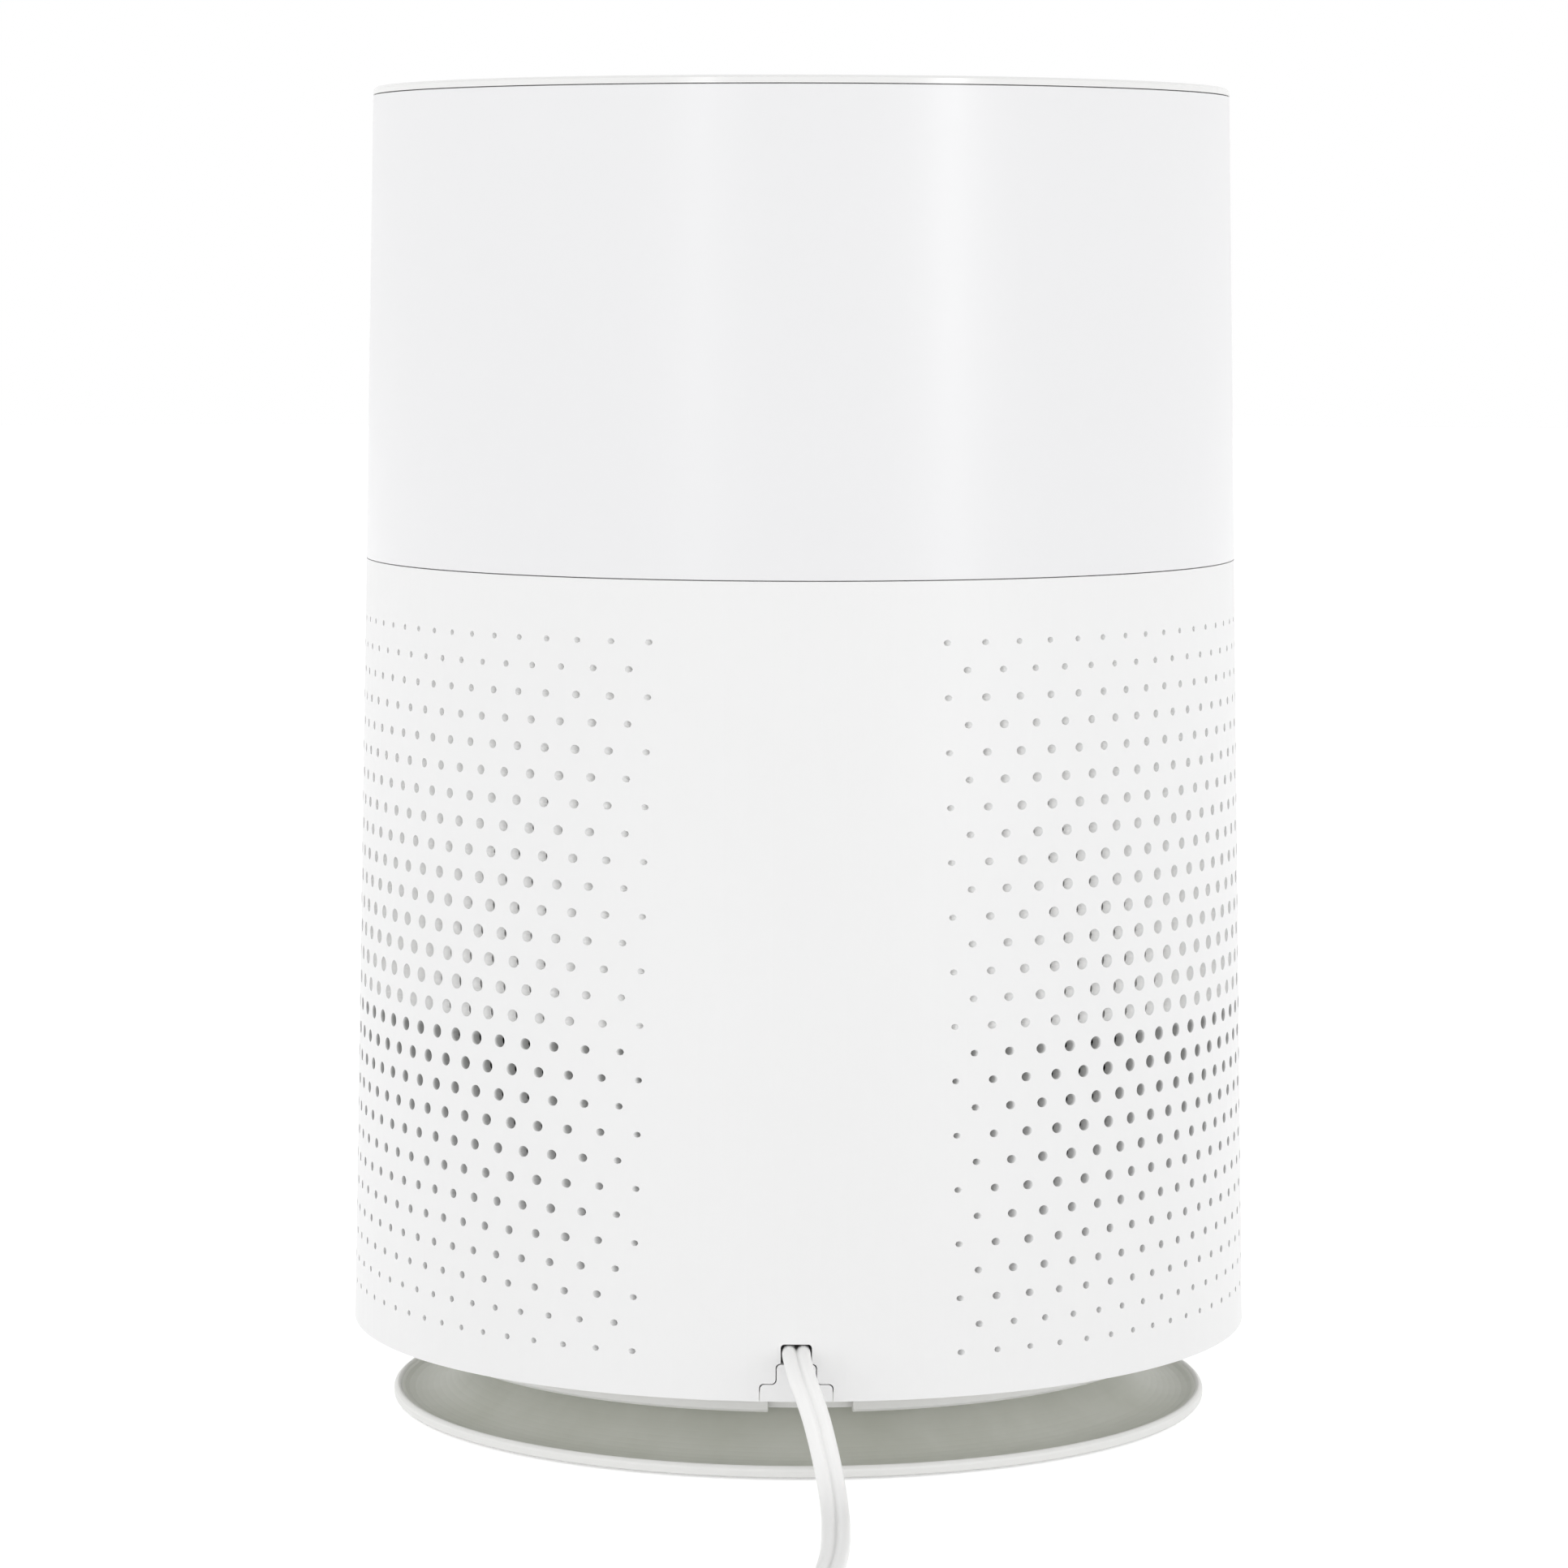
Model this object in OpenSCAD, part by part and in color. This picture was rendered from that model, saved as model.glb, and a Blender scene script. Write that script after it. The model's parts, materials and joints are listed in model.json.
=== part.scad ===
// Round floor-standing air purifier with a perforated intake sleeve, a twist-off base
// that carries a drum filter, a centrifugal fan and a ring outlet around the controls.
// Millimetres, +Z up, origin on the floor at the middle of the base, cord side at -Y.

/* [Body] */
// Outer radius of the body at the lower edge of the sleeve
body_r = 124.7; // [112:0.1:150]
// Overall height
body_h = 364.4; // [345:0.2:440]
// Radius lost for each millimetre of height
body_taper = 0.0205; // [0.01:0.0005:0.025]
// Height of the sleeve's lower edge above the floor
sleeve_z = 23.4; // [21:0.2:30]
// Height of the perforated sleeve
sleeve_h = 212.2; // [206:0.1:230]
// Wall of the perforated sleeve
sleeve_wall = 2.2; // [1.6:0.1:2.6]
// Wall of the upper shell
shell_wall = 2.6; // [2:0.1:3.4]
// Height of the top rim ring
rim_h = 2; // [1.6:0.1:4]
// Width of the open seams between the outer pieces
seam = 0.3; // [0.2:0.05:0.6]

/* [Sleeve holes] */
// Smallest hole, at the border of a field
hole_min = 1.6; // [1.2:0.1:2.4]
// Largest hole, in the middle of a field
hole_max = 4.0; // [2.6:0.1:5]
// Half of the pitch between holes in a row
hole_step = 4.07; // [3.6:0.01:4.2]
// Pitch between rows
row_pitch = 7.1; // [6.6:0.01:7.2]
// Half steps from the middle of a field to its side border
field_steps = 20; // [6:2:20]
// Columns over which a hole grows from the smallest to the largest
ramp_cols = 6; // [2:1:9]
// Height of the lowest row above the sleeve's lower edge
first_row = 11.6; // [8:0.1:12]
// Plain band above the highest row
top_band = 16; // [14:0.5:120]
// Direction of the two rear fields, in degrees from the cord side
field_side = 61; // [59:0.5:62]

/* [Cord outlet] */
// Room beside the cord in its hole
cord_side_room = 0.7; // [0.5:0.1:2]
// Room above the cord in its hole
cord_top_room = 1.6; // [1:0.1:2.4]
// Reach of the cord plate's neck beyond each side of the hole
neck_reach = 1.05; // [1:0.05:2.5]
// Height of the cord plate's neck
plate_neck_h = 5.3; // [4:0.1:6]
// Reach of the cord plate's foot beyond each side of its neck
foot_reach = 4.3; // [3:0.1:6]
// Height of the cord plate's foot
plate_foot_h = 4.4; // [4:0.1:6]
// Open line around the cord plate
plate_gap = 0.25; // [0.15:0.05:0.4]
// Width of the flat cord
cord_w = 7.4; // [6:0.1:7.6]
// Thickness of the flat cord
cord_t = 3.7; // [3:0.1:4]

/* [Base] */
// Outer radius of the base dish
base_r = 113.9; // [108:0.1:120]
// Height of the base dish's rim
base_rim_h = 3.2; // [2.6:0.1:4]
// How far the foot pads stand below the dish
pad_lift = 0.6; // [0.5:0.1:1.5]
// Radius of a foot pad
pad_r = 6; // [4:0.5:7]
// How far the skirt ring hangs below the sleeve
skirt_drop = 7.8; // [5:0.1:9]
// Wall of the skirt ring
skirt_wall = 2.4; // [2:0.1:3]
// Turn that frees the base from the body
unlock_turn = 18; // [16:1:22]

/* [Filter] */
// Outer radius of the drum filter
filter_r = 88; // [80:0.5:89]
// Clear space around the filter in the base's collar
filter_room = 3.2; // [2:0.1:5]
// Radius of the filter's clear core
core_r = 60; // [56:0.5:62]
// Number of pleats
pleats = 60; // [36:1:72]
// Height of the divider above the sleeve's lower edge
divider_h = 92; // [88:1:96]

/* [Fan] */
// Outer radius of the impeller
impeller_r = 86; // [76:0.5:92]
// Radius of the inlet eye
eye_r = 56; // [50:0.5:58]
// Height of the impeller
impeller_h = 51; // [44:0.5:56]
// Number of impeller blades
blades = 11; // [7:1:15]
// Radius of the motor shaft
shaft_r = 4; // [3:0.1:5]
// Running clearance of the shaft
shaft_fit = 0.05; // [0.02:0.01:0.1]
// Number of guide vanes behind the impeller
guides = 9; // [7:1:13]

/* [Outlet and controls] */
// Depth of the outlet grille below the top edge
grille_drop = 11; // [8:0.5:16]
// Height of the grille
grille_h = 6; // [4:0.5:8]
// Number of outlet slats
slats = 48; // [24:2:60]
// Radius of the control panel
panel_r = 56; // [52:0.5:60]
// Thickness of the control panel
panel_t = 3; // [2.4:0.1:4]
// Radius of the middle button
main_btn_r = 9; // [7:0.5:11]
// Radius of the outer buttons
side_btn_r = 6; // [4:0.5:8]
// Distance of the outer buttons from the middle
btn_ring = 30; // [24:1:36]
// Travel of a button
btn_travel = 0.8; // [0.5:0.1:1]
// Clearance around a button
btn_gap = 0.3; // [0.2:0.05:0.5]

/* [Hidden] */

// Outer radius of the body at a height
function r_out(z) = body_r - body_taper * (z - sleeve_z);
// Inner radius of the sleeve at a height
function r_sl(z) = r_out(z) - sleeve_wall;

hole_rows = 2 * floor((sleeve_h - first_row - top_band) / row_pitch / 2 + 0.01) + 1;   // rows in a field
exit_w = cord_w + cord_side_room;  // cord hole
exit_h = cord_t + cord_top_room;
plate_neck_w = exit_w + 2 * neck_reach;
plate_foot_w = plate_neck_w + 2 * foot_reach;
collar_t = 2.2;
skirt_r = filter_r + filter_room + collar_t + skirt_wall + 6.4;   // outer radius of the skirt ring
sides = 120;                       // flats around the sleeve
joint_side = 120;                  // joints of the front shell, degrees from the cord side
flat = cos(180 / sides);           // a flat lies this share of its radius from the axis
fit = 0.2;                         // clearance of pieces that slot into each other
seam_z = sleeve_z + sleeve_h;      // top edge of the sleeve
shell_z = seam_z + seam;           // lower edge of the upper shell
rim_z = body_h - rim_h;            // lower edge of the top rim
lip_t = 2;                         // inner lip at the sleeve's lower edge
lip_w = 3;                         // reach of that lip
floor_outer = r_sl(sleeve_z + 5) * cos(180 / 120) - 0.2;   // outer radius of the floor ring
floor_z = sleeve_z + lip_t;        // underside of the floor ring
floor_t = 3;                       // thickness of the floor ring
floor_top = floor_z + floor_t;
skirt_z = sleeve_z - skirt_drop;   // lower edge of the skirt ring
skirt_gap = [-4.3, 8.4];           // open stretch of the skirt, degrees from the back
wall_r = skirt_r - skirt_wall - 1.4;   // outer radius of the bottom cover's wall
collar_r = wall_r - 5;             // outer radius of the cover's collar
cover_z = skirt_z + 0.6;           // underside of the bottom cover
cover_t = 2.4;
cover_top = cover_z + cover_t;
lug_w = 14;                        // lug width in degrees
notch_w = 18;                      // notch width in degrees
lug_reach = 4;
seat_h = 1;                        // ribs that the filter stands on
filter_z = cover_top + seat_h;     // underside of the filter
divider_z = sleeve_z + divider_h;  // underside of the divider
divider_t = 2.5;
cap_t = 6;                         // height of a filter end cap
cap_rim = 1.2;
seal_h = 2.7;
seal_gap = 0.3;
cap_top_z = divider_z - seal_gap - seal_h - cap_t;
media_z = filter_z + 3;
media_top = cap_top_z + 3;
liner_gap = 1;                     // space between the sleeve and the liner
liner_t = 2.2;
liner_lip = 1.2;                   // wall left standing under the divider
ear_drop = 1;                      // screw ears meet this far below the liner's top
leg_w = 26;                        // width of a liner leg in degrees
spigot_h = 7;                      // depth of the upper shell's spigot
liner_top = shell_z - spigot_h;   // the upper shell stands on the liner
// Outer radius of the liner at a height
function r_li(z) = r_sl(z) - liner_gap;
bell_z = divider_z + divider_t;
bell_h = 7;
imp_z = bell_z + bell_h + 2.5;     // underside of the impeller
imp_top = imp_z + impeller_h;
hub_r = 14;
hub_h = 30;
hub_z = imp_top + 3 - hub_h;
nut_h = 6;
plate_z = imp_top + 7;             // motor plate above the impeller
plate_t = 4;
cup_r = panel_r + 1.6;             // outer radius of the mount's cup
mount_z = plate_z;
ear_h = 9;                         // screw ears inside the liner
vane_top = liner_top - ear_drop - ear_h - 3.5;   // top of the mount's ring and vanes
mount_top = vane_top + 14;         // top of the mount's cup
grommet_h = 2.4;
motor_r = 28;
motor_z = plate_z + plate_t + grommet_h;
motor_h = 28;
motor_screw_r = 22;
ledge_z = mount_z + 4;             // ledge on the liner that carries the mount
mount_r = r_li(liner_top) - liner_t - fit;   // outer radius of the mount's ring
grille_top = body_h - grille_drop;
grille_z = grille_top - grille_h;
shelf_w = 12;                      // shelf in the upper shell under the grille
shelf_t = 2.4;
grille_r = r_out(grille_z) - shell_wall - fit;
grille_in = panel_r + 4;           // inner radius of the grille
panel_top = grille_top + 1;
panel_z = panel_top - panel_t;
pod_r = panel_r + 1.6;             // the panel and the light ring share the pod's edge
pod_t = 2.4;
pod_z = mount_top;
pod_top = panel_z;
board_r = pod_r - pod_t - 2;
ctrl_z = panel_z - 12;             // underside of the control board
pcb_t = 1.6;
parts_h = 22;                      // tallest part on the power board
power_z = pod_z + pod_t + (ctrl_z - pod_z - pod_t - pcb_t - parts_h) / 3;   // underside of the power board
btn_proud = 1.2;                   // buttons stand this far above the panel
lens_w = 18;                       // window of the display
lens_d = 8;
lens_y = btn_ring + 4;
flange_t = 1.4;
stem_r = 2;
switch_h = 3.5;                    // height of a switch with its plunger
stem_z = ctrl_z + pcb_t + switch_h + btn_travel + 0.1;   // foot of a button's stem
exit_z = sleeve_z + plate_foot_h + plate_neck_h;   // lower edge of the cord hole
cord_z = exit_z + exit_h / 2;      // cord centre in the hole
clamp_y = body_r - 14.7;           // middle of the clamp, distance from the axis
clamp_screw = cord_w / 2 + 4.8;    // clamp screws, distance from the cord's middle
clamp_w = 2 * clamp_screw + 7;
clamp_d = 10;
clamp_top = cord_z + cord_t / 2 + 3;

// Holes: the distance from the field's border, 0 to 1, sets the size
function hole_share(u, j) = min(1, (field_steps - abs(u)) / 2 / ramp_cols, 1 - abs(2 * j / (hole_rows - 1) - 1));
function hole_d(u, j) = hole_min + (hole_max - hole_min) * hole_share(u, j);

// ---------- shared forms ----------
module ring(r1, r2, z1, z2) {
    rotate_extrude($fn = 120) polygon([[r1, z1], [r2, z1], [r2, z2], [r1, z2]]);
}

module at_ring(n, r, a0 = 0) {
    for (i = [0 : n - 1]) rotate([0, 0, a0 + i * 360 / n]) translate([r, 0, 0]) children();
}

module round_slab(w, d, h, r) {
    translate([-w / 2 + r, -d / 2, 0]) cube([w - 2 * r, d, h]);
    translate([-w / 2, -d / 2 + r, 0]) cube([w, d - 2 * r, h]);
    for (x = [-1, 1]) for (y = [-1, 1])
        translate([x * (w / 2 - r), y * (d / 2 - r), 0]) cylinder(r = r, h = h, $fn = 32);
}

module screw(d, l, head) {
    translate([0, 0, -l]) cylinder(d = d, h = l, $fn = 24);
    difference() {
        cylinder(d = head, h = d * 0.6, $fn = 32);
        translate([-head * 0.3, -d * 0.12, d * 0.3]) cube([head * 0.6, d * 0.24, d]);
        translate([-d * 0.12, -head * 0.3, d * 0.3]) cube([d * 0.24, head * 0.6, d]);
    }
}

// Tube of a flat oval section swept along points, its long side kept level
function unit(v) = v / norm(v);
function dir_at(p, i) = unit(p[min(i + 1, len(p) - 1)] - p[max(i - 1, 0)]);
function side_at(d) = unit([1, 0, 0] - d * d[0]);
function oval(k, n, w, t) = let (a = 360 * (k + 0.5) / n)
    [(w - t) / 2 * sign(round(1000 * cos(a))) + t / 2 * cos(a), t / 2 * sin(a)];

module swept(p, w, t, n) {
    m = len(p);
    polyhedron(points = [for (i = [0 : m - 1]) let (d = dir_at(p, i), s = side_at(d), u = cross(d, s))
            for (k = [0 : n - 1]) p[i] + oval(k, n, w, t)[0] * s + oval(k, n, w, t)[1] * u],
        faces = concat([[for (k = [0 : n - 1]) k]], [[for (k = [n - 1 : -1 : 0]) (m - 1) * n + k]],
            [for (i = [0 : m - 2]) for (k = [0 : n - 1])
                [i * n + k, (i + 1) * n + k, (i + 1) * n + (k + 1) % n, i * n + (k + 1) % n]]));
}

// ---------- base ----------
rim_t = 1.9;                       // upright rim of the dish
trough_r = base_r - 6;
trough_z = pad_lift + 1.7;
neck_r = collar_r - 6;
// Concave top of the dish, from the neck out to the trough
function dish_z(t) = trough_z + (cover_z - trough_z) * pow(1 - t, 2.2);
dish_top = [for (i = [0 : 12]) [neck_r + (trough_r - neck_r) * i / 12, dish_z(i / 12)]];
dish_under = [for (i = [9 : -1 : 0]) [neck_r - 2.2 + (trough_r - neck_r) * i / 12,
    max(pad_lift, dish_z(i / 12) - 2.2)]];

module base_dish() {
    rim_z0 = pad_lift + base_rim_h;
    color("gainsboro") difference() {
        rotate_extrude($fn = 144) polygon(concat(
            [[0, cover_z - 2.4], [0, cover_z]], dish_top,
            [[base_r - rim_t - 2.4, trough_z + 0.3], [base_r - rim_t - 1.2, trough_z + 0.8],
             [base_r - rim_t - 0.4, rim_z0 - 0.6], [base_r - rim_t + 0.2, rim_z0 - 0.1], [base_r - rim_t + 0.7, rim_z0],
             [base_r - 0.7, rim_z0 - 0.2], [base_r - 0.2, rim_z0 - 0.7], [base_r, rim_z0 - 1.3],
             [base_r - 0.1, pad_lift + 0.5], [base_r - 0.6, pad_lift]],
            [[neck_r + 13, pad_lift]], dish_under, [[neck_r - 2.2, cover_z - 2.4]]));
        at_ring(6, trough_r - 3, 30) translate([0, 0, pad_lift - 1]) cylinder(r = pad_r, h = 1.9, $fn = 40);
        at_ring(4, neck_r - 14, 45) translate([0, 0, cover_z - 5]) cylinder(d = 3.4, h = 8, $fn = 24);
    }
}

module foot_pads() {
    color("dimgray") at_ring(6, trough_r - 3, 30)
        rotate_extrude($fn = 40) polygon([[0, 0], [pad_r - 1, 0], [pad_r - 0.4, 0.3], [pad_r - 0.2, pad_lift],
            [pad_r - 0.2, pad_lift + 0.9], [0, pad_lift + 0.9]]);
}

module bottom_cover() {
    color("white") difference() {
        union() {
            ring(0, wall_r, cover_z, cover_top);
            ring(wall_r - 2.2, wall_r, cover_z, floor_z);
            ring(collar_r - collar_t, collar_r, cover_z, floor_top + 3);
            for (i = [0 : 2]) rotate([0, 0, 90 + i * 120 - lug_w / 2])
                rotate_extrude(angle = lug_w, $fn = 120)
                    polygon([[collar_r - 1, floor_top + 0.2], [collar_r + lug_reach, floor_top + 0.2],
                        [collar_r + lug_reach, floor_top + 3], [collar_r - 1, floor_top + 3]]);
            ring(filter_r - 16, filter_r - 13, cover_top - 0.5, filter_z);
            ring(rib_in, rib_in + 3, cover_top - 0.5, filter_z);
            at_ring(4, neck_r - 14, 45) translate([0, 0, cover_z]) cylinder(r = 5, h = filter_z - cover_z, $fn = 32);
        }
        at_ring(4, neck_r - 14, 45) translate([0, 0, cover_z - 1]) cylinder(d = 2.6, h = 3.2, $fn = 24);
    }
}

module base_screws() {
    color("silver") at_ring(4, neck_r - 14, 45) translate([0, 0, cover_z - 2.4]) mirror([0, 0, 1])
        screw(2.6, 4.4, 6);
}

// ---------- filter ----------
media_r1 = core_r + 5;
media_r2 = filter_r - 3;
rib_in = core_r - 22;              // inner rib under the filter
tab_w = 14;                        // pull tab inside that rib
tab_x = rib_in - 7 - tab_w / 2;

module filter_cap_bottom() {
    color("lightgray") rotate_extrude($fn = 120) polygon([[core_r, filter_z], [filter_r, filter_z],
        [filter_r, filter_z + cap_t], [filter_r - cap_rim, filter_z + cap_t], [filter_r - cap_rim, media_z],
        [core_r + cap_rim, media_z], [core_r + cap_rim, filter_z + cap_t], [core_r, filter_z + cap_t]]);
}

module filter_floor() {
    color("lightgray") rotate_extrude($fn = 120) polygon([[0, filter_z], [core_r, filter_z], [core_r, filter_z + 2],
        [core_r - 6, filter_z + 2], [core_r - 8, filter_z + 1.4], [0, filter_z + 1.4]]);
}

module filter_cap_top() {
    z = cap_top_z;
    color("lightgray") rotate_extrude($fn = 120) polygon([[core_r, z], [core_r + cap_rim, z],
        [core_r + cap_rim, media_top], [filter_r - cap_rim, media_top], [filter_r - cap_rim, z],
        [filter_r, z], [filter_r, z + cap_t], [core_r, z + cap_t]]);
}

module filter_media() {
    color("ivory") translate([0, 0, media_z]) linear_extrude(height = media_top - media_z) difference() {
        polygon([for (i = [0 : 2 * pleats - 1]) let (r = i % 2 == 0 ? media_r2 : media_r1 + 2, a = i * 180 / pleats)
            [r * cos(a), r * sin(a)]]);
        polygon([for (i = [0 : 2 * pleats - 1]) let (r = i % 2 == 0 ? media_r2 - 2.4 : media_r1, a = i * 180 / pleats)
            [r * cos(a), r * sin(a)]]);
    }
}

module filter_core() {
    color("dimgray") difference() {
        ring(core_r + cap_rim + 0.2, core_r + cap_rim + 2, media_z, media_top);
        for (j = [0 : 4]) for (i = [0 : 3]) rotate([0, 0, i * 45])
            translate([-core_r - 20, -15, media_z + 6 + j * (media_top - media_z - 6) / 5])
                cube([2 * core_r + 40, 30, (media_top - media_z - 6) / 5 - 6]);
    }
}

module prefilter() {
    color("darkslategray") ring(filter_r - cap_rim - 1.2, filter_r - cap_rim - 0.1, media_z, media_top);
}

module filter_seal() {
    z = cap_top_z + cap_t;
    color("black") ring(filter_r - 11, filter_r - 4, z, z + seal_h);
}

module filter_tab() {
    color("gray") translate([0, 0, filter_z - 0.6]) linear_extrude(height = 0.6)
        union() {
            translate([-tab_x, -tab_w / 2]) square([2 * tab_x, tab_w]);
            for (x = [-1, 1]) translate([x * tab_x, 0]) circle(d = tab_w, $fn = 32);
        }
}

// ---------- housing ----------
module skirt_profile() {
    polygon([[skirt_r - skirt_wall, skirt_z + 0.5], [skirt_r - skirt_wall + 0.5, skirt_z], [skirt_r - 0.7, skirt_z],
        [skirt_r, skirt_z + 0.7], [skirt_r, floor_z + 0.5], [skirt_r - skirt_wall, floor_z + 0.5]]);
}

module floor_ring() {
    color("whitesmoke") difference() {
        union() {
            difference() {
                ring(collar_r + 0.6, floor_outer, floor_z, floor_top);
                for (i = [0 : 2]) rotate([0, 0, 90 + unlock_turn + i * 120 - notch_w / 2])
                    rotate_extrude(angle = notch_w, $fn = 120)
                        polygon([[collar_r - 1, floor_z - 1], [collar_r + lug_reach + 0.6, floor_z - 1],
                            [collar_r + lug_reach + 0.6, floor_top + 1], [collar_r - 1, floor_top + 1]]);
            }
            rotate([0, 0, -90 + skirt_gap[1]]) rotate_extrude(angle = 360 - skirt_gap[1] + skirt_gap[0], $fn = 144)
                skirt_profile();
        }
        at_ring(3, r_li(floor_top) - liner_t - 5, -100) translate([0, 0, floor_z - 1]) cylinder(d = 3.4, h = 6, $fn = 24);
        for (x = [-1, 1]) translate([x * clamp_screw, -clamp_y, floor_z - 1]) cylinder(d = 2.2, h = 6, $fn = 24);
    }
}

// One field of holes, all drilled along the field's own direction
module hole_field() {
    rotate([90, 0, 90]) translate([0, 0, body_r / 2]) linear_extrude(height = body_r / 2 + 10)
        for (j = [0 : hole_rows - 1])
            for (i = [-(field_steps - j % 2) : 2 : field_steps - j % 2])
                translate([i * hole_step, sleeve_z + first_row + j * row_pitch])
                    circle(d = hole_d(i, j), $fn = hole_share(i, j) < 0.1 ? 8 : 24);
}

// Outline of the cord hole and of the plate under it, grown by g
module cord_hole_2d() {
    y0 = exit_z - sleeve_z;
    translate([-exit_w / 2, y0 - 1]) square([exit_w, exit_h]);
    translate([-exit_w / 2 + 1, y0]) square([exit_w - 2, exit_h]);
    for (x = [-1, 1]) translate([x * (exit_w / 2 - 1), y0 + exit_h - 1]) circle(r = 1, $fn = 24);
}

module plate_2d(g) {
    r = 1.2;
    neck = plate_neck_w / 2 + g;
    foot = plate_foot_w / 2 + g;
    h1 = plate_foot_h + g;
    h2 = plate_foot_h + plate_neck_h + g;
    difference() {
        union() {
            translate([-foot, -2]) square([2 * foot, h1 - r + 2]);
            translate([-foot + r, 0]) square([2 * foot - 2 * r, h1]);
            for (x = [-1, 1]) translate([x * (foot - r), h1 - r]) circle(r = r, $fn = 24);
            translate([-neck, 0]) square([2 * neck, h2 - r]);
            translate([-neck + r, 0]) square([2 * neck - 2 * r, h2]);
            for (x = [-1, 1]) translate([x * (neck - r), h2 - r]) circle(r = r, $fn = 24);
            for (x = [-1, 1]) translate([x * (neck + r / 2), h1 + r / 2]) square(r + 0.02, center = true);
        }
        for (x = [-1, 1]) translate([x * (neck + r), h1 + r]) circle(r = r, $fn = 24);
    }
}

module through_back(d0, d1) {
    translate([0, -d0, sleeve_z]) rotate([90, 0, 0]) linear_extrude(height = d1 - d0) children();
}

module sleeve_wall_solid() {
    rt = r_out(seam_z);
    difference() {
        translate([0, 0, sleeve_z]) linear_extrude(height = sleeve_h, scale = rt / body_r)
            circle(r = body_r, $fn = sides);
        translate([0, 0, floor_z]) linear_extrude(height = sleeve_h, scale = r_sl(floor_z + sleeve_h) / r_sl(floor_z))
            circle(r = r_sl(floor_z), $fn = sides);
        translate([0, 0, sleeve_z - 1]) cylinder(r = r_sl(sleeve_z) - lip_w, h = lip_t + 2, $fn = 120);
    }
}

// The front third of the round, its two sides moved out by g
module front_third(g) {
    h = 180 - joint_side;
    translate([0, -g / sin(h), sleeve_z - 1]) linear_extrude(height = sleeve_h + 2)
        polygon([[0, 0], [3 * body_r * sin(h), 3 * body_r * cos(h)], [-3 * body_r * sin(h), 3 * body_r * cos(h)]]);
}

module sleeve() {
    color("white") difference() {
        sleeve_wall_solid();
        front_third(seam / 2);
        for (a = [-90 - field_side, -90 + field_side]) rotate([0, 0, a]) hole_field();
        through_back(body_r - 10, body_r + 5) cord_hole_2d();
        through_back(body_r - 10, body_r + 5) plate_2d(plate_gap);
    }
}

module sleeve_front() {
    color("white") difference() {
        intersection() {
            sleeve_wall_solid();
            front_third(-seam / 2);
        }
        rotate([0, 0, 90]) hole_field();
    }
}

module cord_plate() {
    color("white") union() {
        intersection() {
            through_back(body_r - 10, body_r + 5) intersection() {
                plate_2d(0);
                translate([-plate_foot_w, 0]) square([2 * plate_foot_w, 40]);
            }
            ring(floor_outer + 0.1, body_r - body_taper * 4, sleeve_z, exit_z + 1);
        }
        intersection() {
            translate([-plate_foot_w / 2 + 1, -body_r, sleeve_z]) cube([plate_foot_w - 2, 10, lip_t]);
            ring(floor_outer - 3, body_r - 1, sleeve_z - 1, floor_top);
        }
    }
}

module cord_clamp() {
    color("gainsboro") difference() {
        translate([0, -clamp_y, floor_top]) round_slab(clamp_w, clamp_d, clamp_top - floor_top, 2);
        translate([-cord_w / 2 + cord_t / 2, -clamp_y - 20, cord_z - cord_t / 2])
            cube([cord_w - cord_t, 40, cord_t]);
        for (x = [-1, 1]) translate([x * (cord_w - cord_t) / 2, -clamp_y - 20, cord_z]) rotate([-90, 0, 0])
            cylinder(d = cord_t, h = 40, $fn = 32);
        for (x = [-1, 1]) translate([x * clamp_screw, -clamp_y, floor_top - 1]) cylinder(d = 2.6, h = 30, $fn = 24);
    }
}

module clamp_screws() {
    color("silver") for (x = [-1, 1]) translate([x * clamp_screw, -clamp_y, clamp_top])
        screw(2.2, clamp_top - floor_z - 0.5, 4.6);
}

module liner_wall(z1, z2) {
    polygon([[r_li(z1) - liner_t, z1], [r_li(z1), z1], [r_li(z2), z2], [r_li(z2) - liner_t, z2]]);
}

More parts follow.
